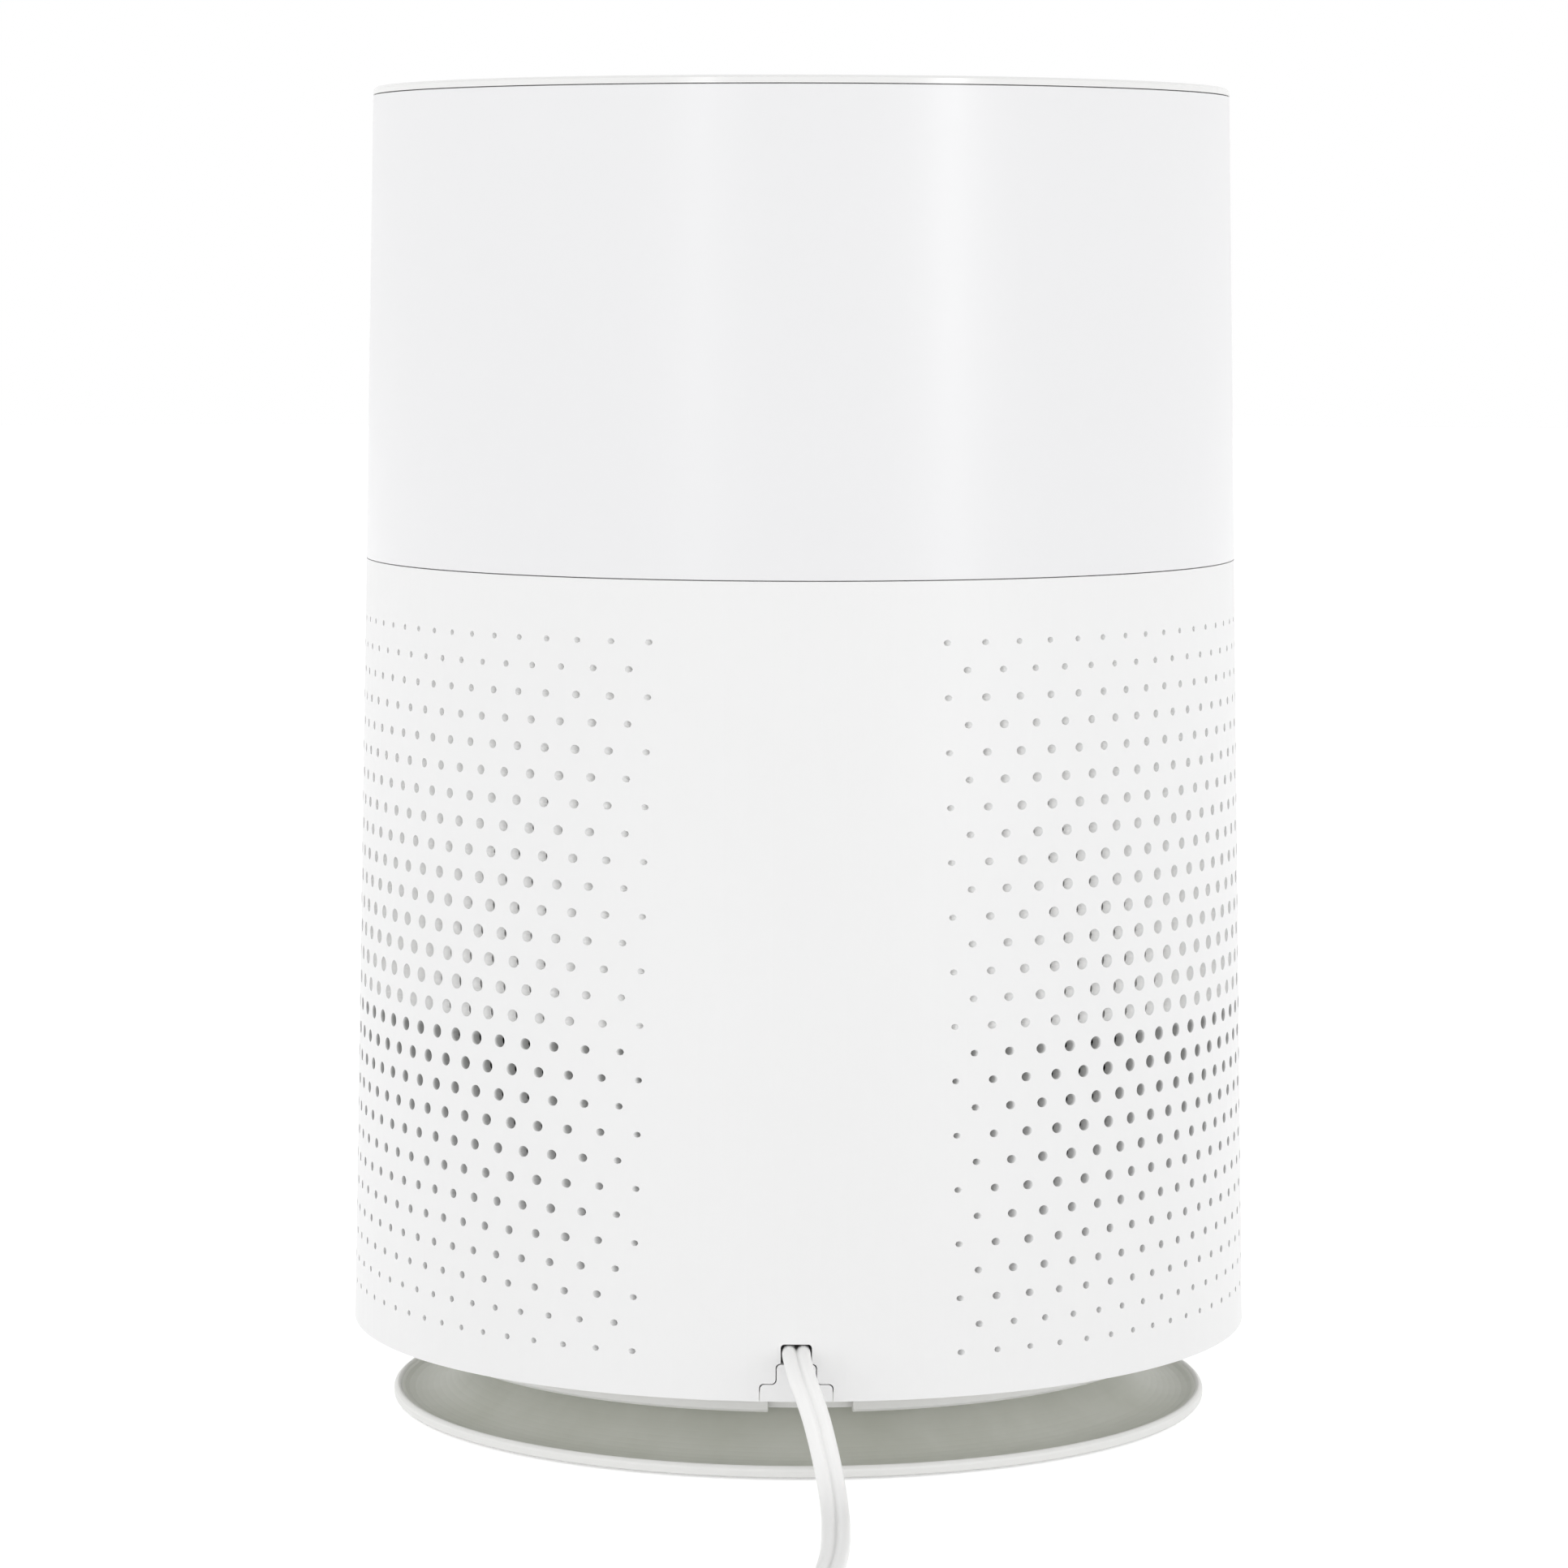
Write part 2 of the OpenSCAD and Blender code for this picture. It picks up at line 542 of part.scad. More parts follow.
module inner_liner() {
    color("white") difference() {
        union() {
            difference() {
                rotate_extrude($fn = 120) liner_wall(floor_top, liner_top);
                for (k = [0 : 2]) rotate([0, 0, -90 + k * 120 + leg_w / 2])
                    rotate_extrude(angle = 120 - leg_w, $fn = 120)
                        polygon([[r_li(floor_top) - 8, floor_top - 1], [body_r, floor_top - 1],
                            [body_r, divider_z - liner_lip], [r_li(floor_top) - 8, divider_z - liner_lip]]);
            }
            ring(eye_r + 4, r_li(divider_z + divider_t) - 0.5, divider_z, divider_z + divider_t);
            at_ring(3, r_li(floor_top) - liner_t - 5, -100) translate([0, 0, floor_top])
                difference() {
                    translate([-5, -5, 0]) cube([10.5, 10, 14]);
                    translate([0, 0, -1]) cylinder(d = 2.6, h = 12, $fn = 24);
                }
            at_ring(3, mount_r - 6.5, 0) translate([-4.5, -7, ledge_z - 8])
                cube([r_li(ledge_z) - liner_t - mount_r + 11.6, 14, 8]);
            at_ring(3, mount_r - 6.5, 60) translate([-4.5, -6, liner_top - ear_drop - ear_h]) cube([11.5, 12, ear_h]);
        }
        translate([-cord_w / 2 - 4.3, -body_r, floor_top + 2]) cube([cord_w + 8.6, 24.7, 14]);
        translate([0, -clamp_y + clamp_d / 2 - 2, divider_z - 1]) cylinder(r = 4, h = 5, $fn = 32);
        at_ring(6, eye_r + 13, 30) translate([0, 0, divider_z - 1]) cylinder(d = 2.4, h = 5, $fn = 24);
        at_ring(3, mount_r - 6.5, 0) translate([0, 0, ledge_z - 7]) cylinder(d = 2.4, h = 8, $fn = 24);
        at_ring(3, mount_r - 6.5, 60) translate([0, 0, liner_top - ear_drop - 8]) cylinder(d = 2.4, h = 9, $fn = 24);
    }
}

module floor_screws() {
    color("silver") at_ring(3, r_li(floor_top) - liner_t - 5, -100) translate([0, 0, floor_z]) mirror([0, 0, 1])
        screw(2.6, 10, 5.6);
}

module inlet_guard() {
    z1 = divider_z - 1.6;
    color("whitesmoke") union() {
        ring(eye_r - 2, eye_r + 6, z1, divider_z);
        for (r = [14 : 8 : eye_r - 8]) ring(r, r + 1.6, z1, divider_z);
        for (i = [0 : 5]) rotate([0, 0, i * 60]) translate([10, -0.9, z1]) cube([eye_r - 11, 1.8, 1.6]);
        translate([0, 0, z1]) cylinder(r = 11, h = 1.6, $fn = 40);
    }
}

module inlet_bell() {
    ro = eye_r + 17;
    color("white") difference() {
        rotate_extrude($fn = 120) polygon(concat([[ro, bell_z], [ro, bell_z + 2]],
            [for (p = [8 : -1 : 0]) [eye_r - 2 + 12 * (1 - cos(90 * p / 8)), bell_z + bell_h - (bell_h - 2) * sin(90 * p / 8)]],
            [for (p = [0 : 8]) [eye_r - 4 + 10 * (1 - cos(90 * p / 8)), bell_z + bell_h - bell_h * sin(90 * p / 8)]]));
        at_ring(6, eye_r + 13, 30) translate([0, 0, bell_z - 1]) cylinder(d = 3, h = 5, $fn = 24);
    }
}

module bell_screws() {
    color("silver") at_ring(6, eye_r + 13, 30) translate([0, 0, bell_z + 2]) screw(2.4, 4.2, 5);
}

// ---------- fan ----------
// Backward-curved blade: angle swept at a radius
function sweep(r) = 48 * pow((r - eye_r + 4) / (impeller_r - eye_r + 4), 1.15);
function polar(r, a) = [r * cos(a), r * sin(a)];

module blade_2d(t) {
    n = 8;
    r0 = eye_r - 3;
    r1 = impeller_r - 0.5;
    polygon(concat(
        [for (i = [0 : n]) let (r = r0 + (r1 - r0) * i / n) polar(r, -sweep(r)) + polar(t / 2, -sweep(r) + 60)],
        [for (i = [n : -1 : 0]) let (r = r0 + (r1 - r0) * i / n) polar(r, -sweep(r)) - polar(t / 2, -sweep(r) + 60)]));
}

module impeller() {
    h0 = imp_z + 2.5;
    color("gray") difference() {
        union() {
            ring(eye_r + 3, impeller_r, imp_z, h0);
            rotate_extrude($fn = 120) polygon([[hub_r - 2, hub_z], [hub_r, hub_z], [hub_r, hub_z + 8], [hub_r + 8, hub_z + 20],
                [hub_r + 26, imp_top - 4], [eye_r, imp_top - 2.5], [impeller_r, imp_top - 2.5], [impeller_r, imp_top],
                [hub_r + 24, imp_top], [hub_r + 6, hub_z + 23], [hub_r, hub_z + 18], [hub_r - 2, hub_z + 18]]);
            translate([0, 0, hub_z]) cylinder(r = hub_r - 1, h = hub_h, $fn = 60);
            translate([0, 0, h0 - 0.5]) linear_extrude(height = imp_top - 2 - h0)
                for (i = [0 : blades - 1]) rotate(i * 360 / blades) blade_2d(1.8);
        }
        translate([0, 0, hub_z - 1]) cylinder(r = shaft_r, h = hub_h + 2, $fn = 48);
    }
}

module motor_shaft() {
    color("silver") translate([0, 0, hub_z - nut_h - 3])
        cylinder(r = shaft_r, h = motor_z + motor_h - 1 - (hub_z - nut_h - 3), $fn = 48);
}

module impeller_nut() {
    color("silver") translate([0, 0, hub_z - nut_h]) difference() {
        cylinder(r = 8, h = nut_h, $fn = 6);
        translate([0, 0, -1]) cylinder(r = shaft_r, h = nut_h + 2, $fn = 48);
    }
}

module motor_mount() {
    color("whitesmoke") difference() {
        union() {
            rotate_extrude($fn = 120) polygon([[15, mount_z], [cup_r, mount_z], [cup_r, mount_top],
                [cup_r - 2.4, mount_top], [cup_r - 2.4, mount_z + plate_t], [15, mount_z + plate_t]]);
            ring(mount_r - 2.4, mount_r, ledge_z, vane_top);
            for (i = [0 : guides - 1]) rotate([0, 0, -90 + (i + 0.5) * 360 / guides])
                translate([cup_r - 1, -0.9, ledge_z + 1]) rotate([14, 0, 0])
                    cube([mount_r - cup_r, 1.8, vane_top - ledge_z - 2]);
            at_ring(3, mount_r - 6.5, 0) translate([-4.5, -6, ledge_z]) cube([9.5, 12, 3]);
        }
        at_ring(3, motor_screw_r, 30) translate([0, 0, mount_z - 1]) cylinder(d = 2.8, h = 8, $fn = 24);
        at_ring(3, mount_r - 6.5, 0) translate([0, 0, ledge_z - 1]) cylinder(d = 3, h = 6, $fn = 24);
    }
}

module mount_screws() {
    color("silver") at_ring(3, mount_r - 6.5, 0) translate([0, 0, ledge_z + 3]) screw(2.4, 9, 5);
}

module motor_grommets() {
    color("black") at_ring(3, motor_screw_r, 30)
        translate([0, 0, plate_z + plate_t]) difference() {
            cylinder(r = 4.6, h = grommet_h, $fn = 32);
            translate([0, 0, -1]) cylinder(d = 2.9, h = grommet_h + 2, $fn = 24);
        }
}

module motor_body() {
    color("dimgray") difference() {
        union() {
            translate([0, 0, motor_z]) cylinder(r = motor_r, h = 2.4, $fn = 72);
            translate([0, 0, motor_z + 2.3]) cylinder(r = motor_r - 11, h = motor_h - 2.3, $fn = 72);
            translate([0, 0, motor_z + 8]) cylinder(r = motor_r - 2, h = motor_h - 12, $fn = 72);
            translate([0, 0, motor_z - 5]) cylinder(r = 11, h = 6, $fn = 48);
        }
        translate([0, 0, motor_z - 6]) cylinder(r = shaft_r + shaft_fit, h = motor_h + 8, $fn = 48);
        at_ring(3, motor_screw_r, 30) translate([0, 0, motor_z - 1]) cylinder(d = 2.8, h = 5, $fn = 24);
    }
}

module motor_screws() {
    color("silver") at_ring(3, motor_screw_r, 30) translate([0, 0, motor_z + 2.4])
        screw(2.7, 2.4 + grommet_h + plate_t - 0.2, 5);
}

// ---------- electronics ----------
module pod_shell() {
    color("white") difference() {
        union() {
            ring(pod_r - pod_t, pod_r, pod_z, pod_top);
            ring(motor_r + 2, pod_r, pod_z, pod_z + pod_t);
            at_ring(3, board_r - 6, 90) translate([0, 0, pod_z + 2]) cylinder(r = 3.4, h = power_z - pod_z - 2, $fn = 32);
        }
        translate([-4, -pod_r - 5, pod_z + 6]) cube([8, 20, 6]);
    }
}

module power_board() {
    color("darkgreen") translate([0, 0, power_z]) cylinder(r = board_r, h = pcb_t, $fn = 96);
}

module power_parts() {
    z = power_z + pcb_t;
    color("goldenrod") union() {
        translate([-22, -8, z]) cube([24, 20, 18]);
        translate([18, 14, z]) cylinder(r = 7, h = parts_h, $fn = 40);
        translate([24, -6, z]) cylinder(r = 5, h = 16, $fn = 40);
        translate([4, -34, z]) cube([16, 9, 11]);
        translate([-30, 18, z]) cube([22, 4, 20]);
        translate([-14, -34, z]) cube([13, 13, 12]);
    }
}

module control_board() {
    color("darkgreen") translate([0, 0, ctrl_z]) cylinder(r = board_r, h = pcb_t, $fn = 96);
}

side_angles = [45, 135, 225, 315];

module at_buttons() {
    children(0);
    for (a = side_angles) rotate([0, 0, a]) translate([btn_ring, 0, 0]) children(0);
}

module tact_switches() {
    color("black") at_buttons() union() {
        translate([-3, -3, ctrl_z + pcb_t]) cube([6, 6, switch_h - 0.9]);
        translate([0, 0, ctrl_z + pcb_t + switch_h - 1]) cylinder(r = 1.6, h = 1, $fn = 24);
    }
}

module mains_wires() {
    y0 = -clamp_y + clamp_d / 2;
    color("sienna") for (x = [-1.4, 1.4]) swept([[x, y0, cord_z], [x, y0 + 1.5, cord_z + 0.4],
        [x, y0 + 2.4, cord_z + 3], [x, y0 + 1, cord_z + 9], [x, y0 - 2, cord_z + 16], [x, y0 - 2, pod_z + 2],
        [x, y0, pod_z + 7], [x, y0 + 6, pod_z + 9], [x, -pod_r, pod_z + 9], [x, -pod_r + 10, pod_z + 11],
        [x, -board_r + 11.5, power_z - 5], [x, -board_r + 12, power_z - 2], [x, -board_r + 12, power_z]], 2, 2, 8);
}

module motor_wires() {
    z0 = motor_z + motor_h;
    rise = power_z - z0;
    color("firebrick") for (x = [12, 14.2, 16.4]) swept([[x, 0, z0], [x, 0, z0 + 0.05 * rise], [x, 0.6, z0 + 0.13 * rise],
        [x, 3, z0 + 0.27 * rise], [x + 1.4, 6, z0 + 0.52 * rise], [x + 3.6, 8.4, z0 + 0.78 * rise],
        [x + 4, 9, z0 + 0.92 * rise], [x + 4, 9, power_z]], 1.8, 1.8, 8);
}

// ---------- top ----------
module upper_shell() {
    sp_o = r_sl(seam_z) * flat - fit;
    sp_i = sp_o - 2.2;
    color("white") difference() {
        union() {
            rotate_extrude($fn = 180) polygon([
                [sp_i, liner_top], [sp_o - 0.5, liner_top], [sp_o, liner_top + 0.8], [sp_o, shell_z],
                [r_out(shell_z), shell_z], [r_out(rim_z - seam), rim_z - seam],
                [r_out(rim_z - seam) - shell_wall, rim_z - seam],
                [r_out(shell_z + 4) - shell_wall, shell_z + 4], [sp_i, shell_z + 1]]);
            at_ring(3, mount_r - 6.5, 60) {
                translate([-4.5, -6, liner_top - ear_drop]) cube([8.6, 12, 3]);
                translate([0, -6, liner_top + 0.3]) cube([sp_i + 1 - mount_r + 6.5, 12, ear_drop + 0.7]);
            }
        }
        at_ring(3, mount_r - 6.5, 60) translate([0, 0, liner_top - ear_drop - 1]) cylinder(d = 3, h = 6, $fn = 24);
    }
}

// Inner surface of the upper shell
function shell_in(z) = r_out(z) - shell_wall;

// Ring bonded inside the shell that carries the grille
module grille_shelf() {
    z = grille_z - shelf_t - 6;
    color("white") rotate_extrude($fn = 180) polygon([[shell_in(grille_z), grille_z],
        [shell_in(grille_z) - shelf_w + 3, grille_z], [shell_in(grille_z) - shelf_w + 3, grille_z - shelf_t],
        [shell_in(grille_z) - 3, grille_z - shelf_t - 1], [shell_in(z) - 0.6, z], [shell_in(z), z]]);
}

module shell_screws() {
    color("silver") at_ring(3, mount_r - 6.5, 60) translate([0, 0, liner_top - ear_drop + 3]) screw(2.4, 9, 5);
}

module top_rim() {
    ro = r_out(rim_z);
    ri = r_out(rim_z) - 4.2;
    tongue_o = ro - shell_wall - fit;
    color("white") rotate_extrude($fn = 180) polygon([[ri, grille_top], [tongue_o - 0.3, grille_top], [tongue_o, grille_top + 0.6], [tongue_o, rim_z],
        [ro, rim_z], [r_out(body_h) - 0.1, body_h - 0.6], [r_out(body_h) - 0.7, body_h], [ri + 0.8, body_h],
        [ri + 0.1, body_h - 0.5], [ri - 0.2, rim_z - 1]]);
}

module slat_2d(t) {
    n = 6;
    r0 = grille_in + 1;
    r1 = grille_r - 3;
    polygon(concat(
        [for (i = [0 : n]) let (r = r0 + (r1 - r0) * i / n, a = 26 * pow(i / n, 1.2)) polar(r, a) + polar(t / 2, a + 110)],
        [for (i = [n : -1 : 0]) let (r = r0 + (r1 - r0) * i / n, a = 26 * pow(i / n, 1.2)) polar(r, a) - polar(t / 2, a + 110)]));
}

module outlet_grille() {
    color("white") union() {
        ring(grille_r - 4, grille_r, grille_z, grille_top);
        ring(grille_in, grille_in + 2.4, grille_z, grille_top);
        ring((grille_in + grille_r) / 2 - 1, (grille_in + grille_r) / 2 + 1, grille_z + 0.5, grille_top - 1.5);
        translate([0, 0, grille_z + 1]) linear_extrude(height = grille_h - 1.5)
            for (i = [0 : slats - 1]) rotate(i * 360 / slats) slat_2d(1.6);
    }
}

module light_ring() {
    color("aliceblue") ring(panel_r + fit, grille_in, panel_z, panel_top - 0.4);
}

module control_panel() {
    color("whitesmoke") difference() {
        union() {
            rotate_extrude($fn = 120) polygon([[0, panel_z], [panel_r, panel_z], [panel_r, panel_top - 0.6],
                [panel_r - 0.6, panel_top], [0, panel_top]]);
            for (a = [0, 180, 270]) rotate([0, 0, a]) translate([board_r - 8, 0, ctrl_z + pcb_t])
                cylinder(r = 3, h = panel_z - ctrl_z - pcb_t + 0.5, $fn = 32);
        }
        translate([0, 0, panel_z - 1]) cylinder(r = main_btn_r + btn_gap, h = panel_t + 2, $fn = 60);
        at_ring(4, btn_ring, 45) translate([0, 0, panel_z - 1]) cylinder(r = side_btn_r + btn_gap, h = panel_t + 2, $fn = 48);
        translate([-lens_w / 2, lens_y - lens_d / 2, panel_z - 1]) cube([lens_w, lens_d, panel_t + 2]);
    }
}

module display_lens() {
    color("black") union() {
        translate([-lens_w / 2 + fit / 2, lens_y - lens_d / 2 + fit / 2, panel_z]) cube([lens_w - fit, lens_d - fit, panel_t]);
        translate([-lens_w / 2 - 1.5, lens_y - lens_d / 2 - 1.5, panel_z - 1]) cube([lens_w + 3, lens_d + 3, 1]);
    }
}

module push_button(r) {
    color("white") union() {
        rotate_extrude($fn = 60) polygon([[0, panel_z - 0.3 - flange_t], [r + 1.4, panel_z - 0.3 - flange_t],
            [r + 1.4, panel_z - 0.3], [r, panel_z - 0.3], [r, panel_top + btn_proud - 0.5],
            [r - 0.5, panel_top + btn_proud], [0, panel_top + btn_proud]]);
        translate([0, 0, stem_z]) cylinder(r = stem_r, h = panel_z - stem_z, $fn = 32);
    }
}

module side_button(i) {
    rotate([0, 0, side_angles[i]]) translate([btn_ring, 0, 0]) push_button(side_btn_r);
}

module button_power() { push_button(main_btn_r); }
module button_speed() { side_button(0); }
module button_timer() { side_button(1); }
module button_light() { side_button(2); }
module button_reset() { side_button(3); }

// ---------- cord ----------
cord_pts = [[0, -115, 35.8], [0, -119, 35.9], [0, -124.5, 36.1], [0.2, -129, 35.7], [0.8, -133.5, 34.2],
    [1.9, -137.2, 31.3], [3.6, -139.7, 27.2], [5.3, -141.2, 22.2], [6.7, -142.3, 17], [7.9, -144, 12.1], [8.9, -147.2, 7.8],
    [9.6, -152, 4.6], [10, -158.4, 2.7], [10.2, -166, 2], [10.2, -176, 2], [10.1, -190, 2], [9.6, -204, 2],
    [8.5, -218, 2], [6.8, -231, 2], [4.5, -243, 2], [1.9, -254, 2], [-0.4, -264.5, 2], [-2, -275.5, 2]];
coil_c = [46, -302, 0];            // middle of the coil
coil_r = 41;                       // radius of the middle of the turns
coil_w = 3.2 * cord_w;             // width of the lay
coil_h = 2.2 * cord_t;
plug_at = [-3, -352, 0];            // middle of the plug

module power_cord() { color("white") swept(cord_pts, cord_w, cord_t, 12); }

module cord_coil() {
    color("white") translate(coil_c) rotate_extrude($fn = 72)
        polygon([[coil_r - coil_w / 2, 0], [coil_r + coil_w / 2, 0], [coil_r + coil_w / 2, coil_h], [coil_r - coil_w / 2, coil_h]]);
}

module blade_pair(g) {
    for (x = [-1, 1]) translate([x * 6.35 - 0.75 - g, -9 - 16, 3.4 - g]) cube([1.5 + 2 * g, 20, 6.3 + 2 * g]);
}

module plug_body() {
    color("white") translate(plug_at) difference() {
        union() {
            round_slab(24, 18, 13, 4);
            translate([-cord_w / 2 - 0.8, 8, 4.65 - cord_t / 2]) cube([cord_w + 1.6, 14, cord_t + 3.3]);
        }
        blade_pair(0);
    }
}

module plug_blades() {
    color("silver") translate(plug_at) blade_pair(0);
}

base_dish();
foot_pads();
bottom_cover();
base_screws();
filter_cap_bottom();
filter_floor();
filter_tab();
filter_media();
filter_core();
prefilter();
filter_cap_top();
filter_seal();
floor_ring();
floor_screws();
sleeve();
sleeve_front();
cord_plate();
cord_clamp();
clamp_screws();
inner_liner();
inlet_guard();
inlet_bell();
bell_screws();
impeller();
motor_shaft();
impeller_nut();
motor_mount();
mount_screws();
motor_grommets();
motor_body();
motor_screws();
pod_shell();
power_board();
power_parts();
control_board();
tact_switches();
mains_wires();
motor_wires();
upper_shell();
shell_screws();
grille_shelf();
top_rim();
outlet_grille();
light_ring();
control_panel();
display_lens();
button_power();
button_speed();
button_timer();
button_light();
button_reset();
power_cord();
cord_coil();
plug_body();
plug_blades();
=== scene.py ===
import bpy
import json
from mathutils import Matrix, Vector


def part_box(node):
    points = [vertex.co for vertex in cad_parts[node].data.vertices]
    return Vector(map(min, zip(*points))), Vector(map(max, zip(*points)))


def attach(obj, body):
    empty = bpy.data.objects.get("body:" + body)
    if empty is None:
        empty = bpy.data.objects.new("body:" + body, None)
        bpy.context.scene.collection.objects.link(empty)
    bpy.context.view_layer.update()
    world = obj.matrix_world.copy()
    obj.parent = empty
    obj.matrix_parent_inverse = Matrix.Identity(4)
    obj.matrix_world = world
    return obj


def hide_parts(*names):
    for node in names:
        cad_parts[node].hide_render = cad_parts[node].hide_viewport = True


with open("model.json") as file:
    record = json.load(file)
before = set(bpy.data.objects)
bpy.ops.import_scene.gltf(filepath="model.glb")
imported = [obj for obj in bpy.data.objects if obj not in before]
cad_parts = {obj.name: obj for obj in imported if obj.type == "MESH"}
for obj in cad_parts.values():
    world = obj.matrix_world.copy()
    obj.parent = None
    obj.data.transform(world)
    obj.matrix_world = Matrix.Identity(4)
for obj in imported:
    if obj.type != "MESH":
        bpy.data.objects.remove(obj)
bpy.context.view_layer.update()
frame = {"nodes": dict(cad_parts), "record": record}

import json
import math

import bmesh
import bpy
from mathutils import Matrix, Vector

MM = 0.001
scene = bpy.context.scene
nodes = frame["nodes"]


# ---------------------------------------------------------------- camera

def view_camera():
    """Level with the upper part of the body, behind it, on the cord side."""
    distance, height = 1.4793, 0.3166
    around = math.radians(0.245)
    pan = math.radians(0.17)
    pitch = math.radians(5.587)
    roll = math.radians(0.116)
    lens = bpy.data.cameras.new("view_camera")
    lens.sensor_width = 36.0
    lens.lens = 122.14
    lens.clip_start, lens.clip_end = 0.05, 50.0
    camera = bpy.data.objects.new("view_camera", lens)
    turn = (Matrix.Rotation(around + pan, 4, "Z")
            @ Matrix.Rotation(math.pi / 2 - pitch, 4, "X")
            @ Matrix.Rotation(roll, 4, "Z"))
    camera.matrix_world = Matrix.Translation(
        (distance * math.sin(around), -distance * math.cos(around), height)) @ turn
    scene.collection.objects.link(camera)
    scene.camera = camera


view_camera()


# ---------------------------------------------------------------- mesh helpers

def new_piece(name, bm, material=None, body="housing", smooth=True):
    """An object made from a bmesh, riding on a body and showing the material that is given."""
    mesh = bpy.data.meshes.new(name)
    bmesh.ops.recalc_face_normals(bm, faces=bm.faces)
    for face in bm.faces:
        face.smooth = smooth
    bm.to_mesh(mesh)
    bm.free()
    piece = bpy.data.objects.new(name, mesh)
    scene.collection.objects.link(piece)
    if material:
        mesh.materials.append(material)
    if body:
        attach(piece, body)
    return piece


def bridge_rings(bm, rings):
    """Quads between rings of the same count, with a face on both ends."""
    made = [[bm.verts.new(p) for p in ring] for ring in rings]
    count = len(made[0])
    for a, b in zip(made, made[1:]):
        for k in range(count):
            bm.faces.new((a[k], a[(k + 1) % count], b[(k + 1) % count], b[k]))
    bm.faces.new(list(reversed(made[0])))
    bm.faces.new(made[-1])


# ---------------------------------------------------------------- flat cord

CORD_W, CORD_T = 7.4 * MM, 3.7 * MM
GROOVE_AT = 157                                 # degrees of each core's ring that lie outside the groove, each way
COIL_MIDDLE = Vector((46 * MM, -302 * MM, 0))
LANES = [48.75 * MM, 41.0 * MM, 33.25 * MM]     # radius of the outer, middle and inner turns
LOW_Z, HIGH_Z = 2.0 * MM, 5.85 * MM             # centres of the two layers
TURNS, TURN_CUTS = 5.0, 60
PLUG_BACK = Vector((-3 * MM, -331 * MM, 6.4 * MM))
PLUG_FACE = (-3 * MM, -361 * MM, 6.5 * MM)      # middle of the face that the blades leave
ROUTE_MM = [
    (0, -115, 35.8), (0, -119, 35.9), (0, -124.5, 36.1), (0.2, -129, 35.7), (0.8, -133.5, 34.2),
    (1.9, -137.2, 31.3), (3.6, -139.7, 27.2), (5.3, -141.2, 22.2), (6.7, -142.3, 17), (7.9, -144, 12.1),
    (8.9, -147.2, 7.8), (9.6, -152, 4.6), (10, -158.4, 2.7), (10.2, -166, 2), (10.2, -176, 2),
    (10.1, -190, 2), (9.6, -204, 2), (8.5, -218, 2), (6.8, -231, 2), (4.5, -243, 2),
    (1.9, -254, 2), (-0.4, -264.5, 2), (-2, -275.5, 2), (-2.7, -288, 2)]


def ease(x):
    """From 0 to 1 with a soft start and end."""
    x = min(1.0, max(0.0, x))
    return x * x * (3 - 2 * x)


def through(points, step):
    """A smooth line through the points, as Catmull-Rom pieces cut at about that step."""
    pts = [points[0] * 2 - points[1]] + points + [points[-1] * 2 - points[-2]]
    line = []
    for a, b, c, d in zip(pts, pts[1:], pts[2:], pts[3:]):
        cuts = max(2, round((c - b).length / step))
        for i in range(cuts):
            t = i / cuts
            line.append(0.5 * (2 * b + (c - a) * t + (2 * a - 5 * b + 4 * c - d) * t * t
                               + (3 * b - a - 3 * c + d) * t ** 3))
    return line + [points[-1].copy()]


def coil_points():
    """Three turns side by side from outside in, then up and back out on top of them."""
    pts = []
    for i in range(int(TURNS * TURN_CUTS) + 1):
        t = i / TURN_CUTS
        lane = ease((t - 0.8) / 0.2) + ease((t - 1.8) / 0.2) - ease((t - 3.4) / 0.2) - ease((t - 4.4) / 0.2)
        low = min(1, int(lane))
        radius = LANES[low] + (LANES[low + 1] - LANES[low]) * (lane - low)
        height = LOW_Z + (HIGH_Z - LOW_Z) * ease((t - 2.6) / 0.2)
        angle = math.pi + 2 * math.pi * t
        pts.append(COIL_MIDDLE + Vector((radius * math.cos(angle), radius * math.sin(angle), height)))
    return pts


def cord_line():
    """The cord's middle line: the free stretch, the coil, and the way up to the plug."""
    route = [Vector(p) * MM for p in ROUTE_MM]
    coil = coil_points()
    tail = [Vector((-2.8 * MM, -312 * MM, 5.9 * MM)), Vector((-3 * MM, -322 * MM, 6.1 * MM)), PLUG_BACK]
    start = through(route + [coil[0]], 2.2 * MM)
    end = through([coil[-1]] + tail, 2.5 * MM)
    return start[:-1] + coil + end[1:]


def flat_cord_section():
    """Two round cores side by side with a web between them: a ring of points as (across, up)."""
    r, ring = CORD_T / 2, []
    for side in (1, -1):
        for k in range(13):
            a = math.radians(GROOVE_AT * (k / 6 - 1))
            ring.append((side * (CORD_W / 2 - r) + side * r * math.cos(a), side * r * math.sin(a)))
    return ring


def flat_cord():
    """The section carried along the line, turned slowly so that it lies flat on the floor."""
    line = cord_line()
    section = flat_cord_section()
    across = Vector((1, 0, 0))
    rings = []
    for i, p in enumerate(line):
        ahead = (line[min(i + 1, len(line) - 1)] - line[max(i - 1, 0)]).normalized()
        across = (across - ahead * across.dot(ahead)).normalized()
        level = ahead.cross(Vector((0, 0, 1)))
        if level.length > 0.5:
            level = level.normalized() * (1 if level.dot(across) > 0 else -1)
            across = across.lerp(level, 0.15).normalized()
        up = across.cross(ahead)
        rings.append([p + across * u + up * v for u, v in section])
    bm = bmesh.new()
    bridge_rings(bm, rings)
    return new_piece("flat_cord", bm), line


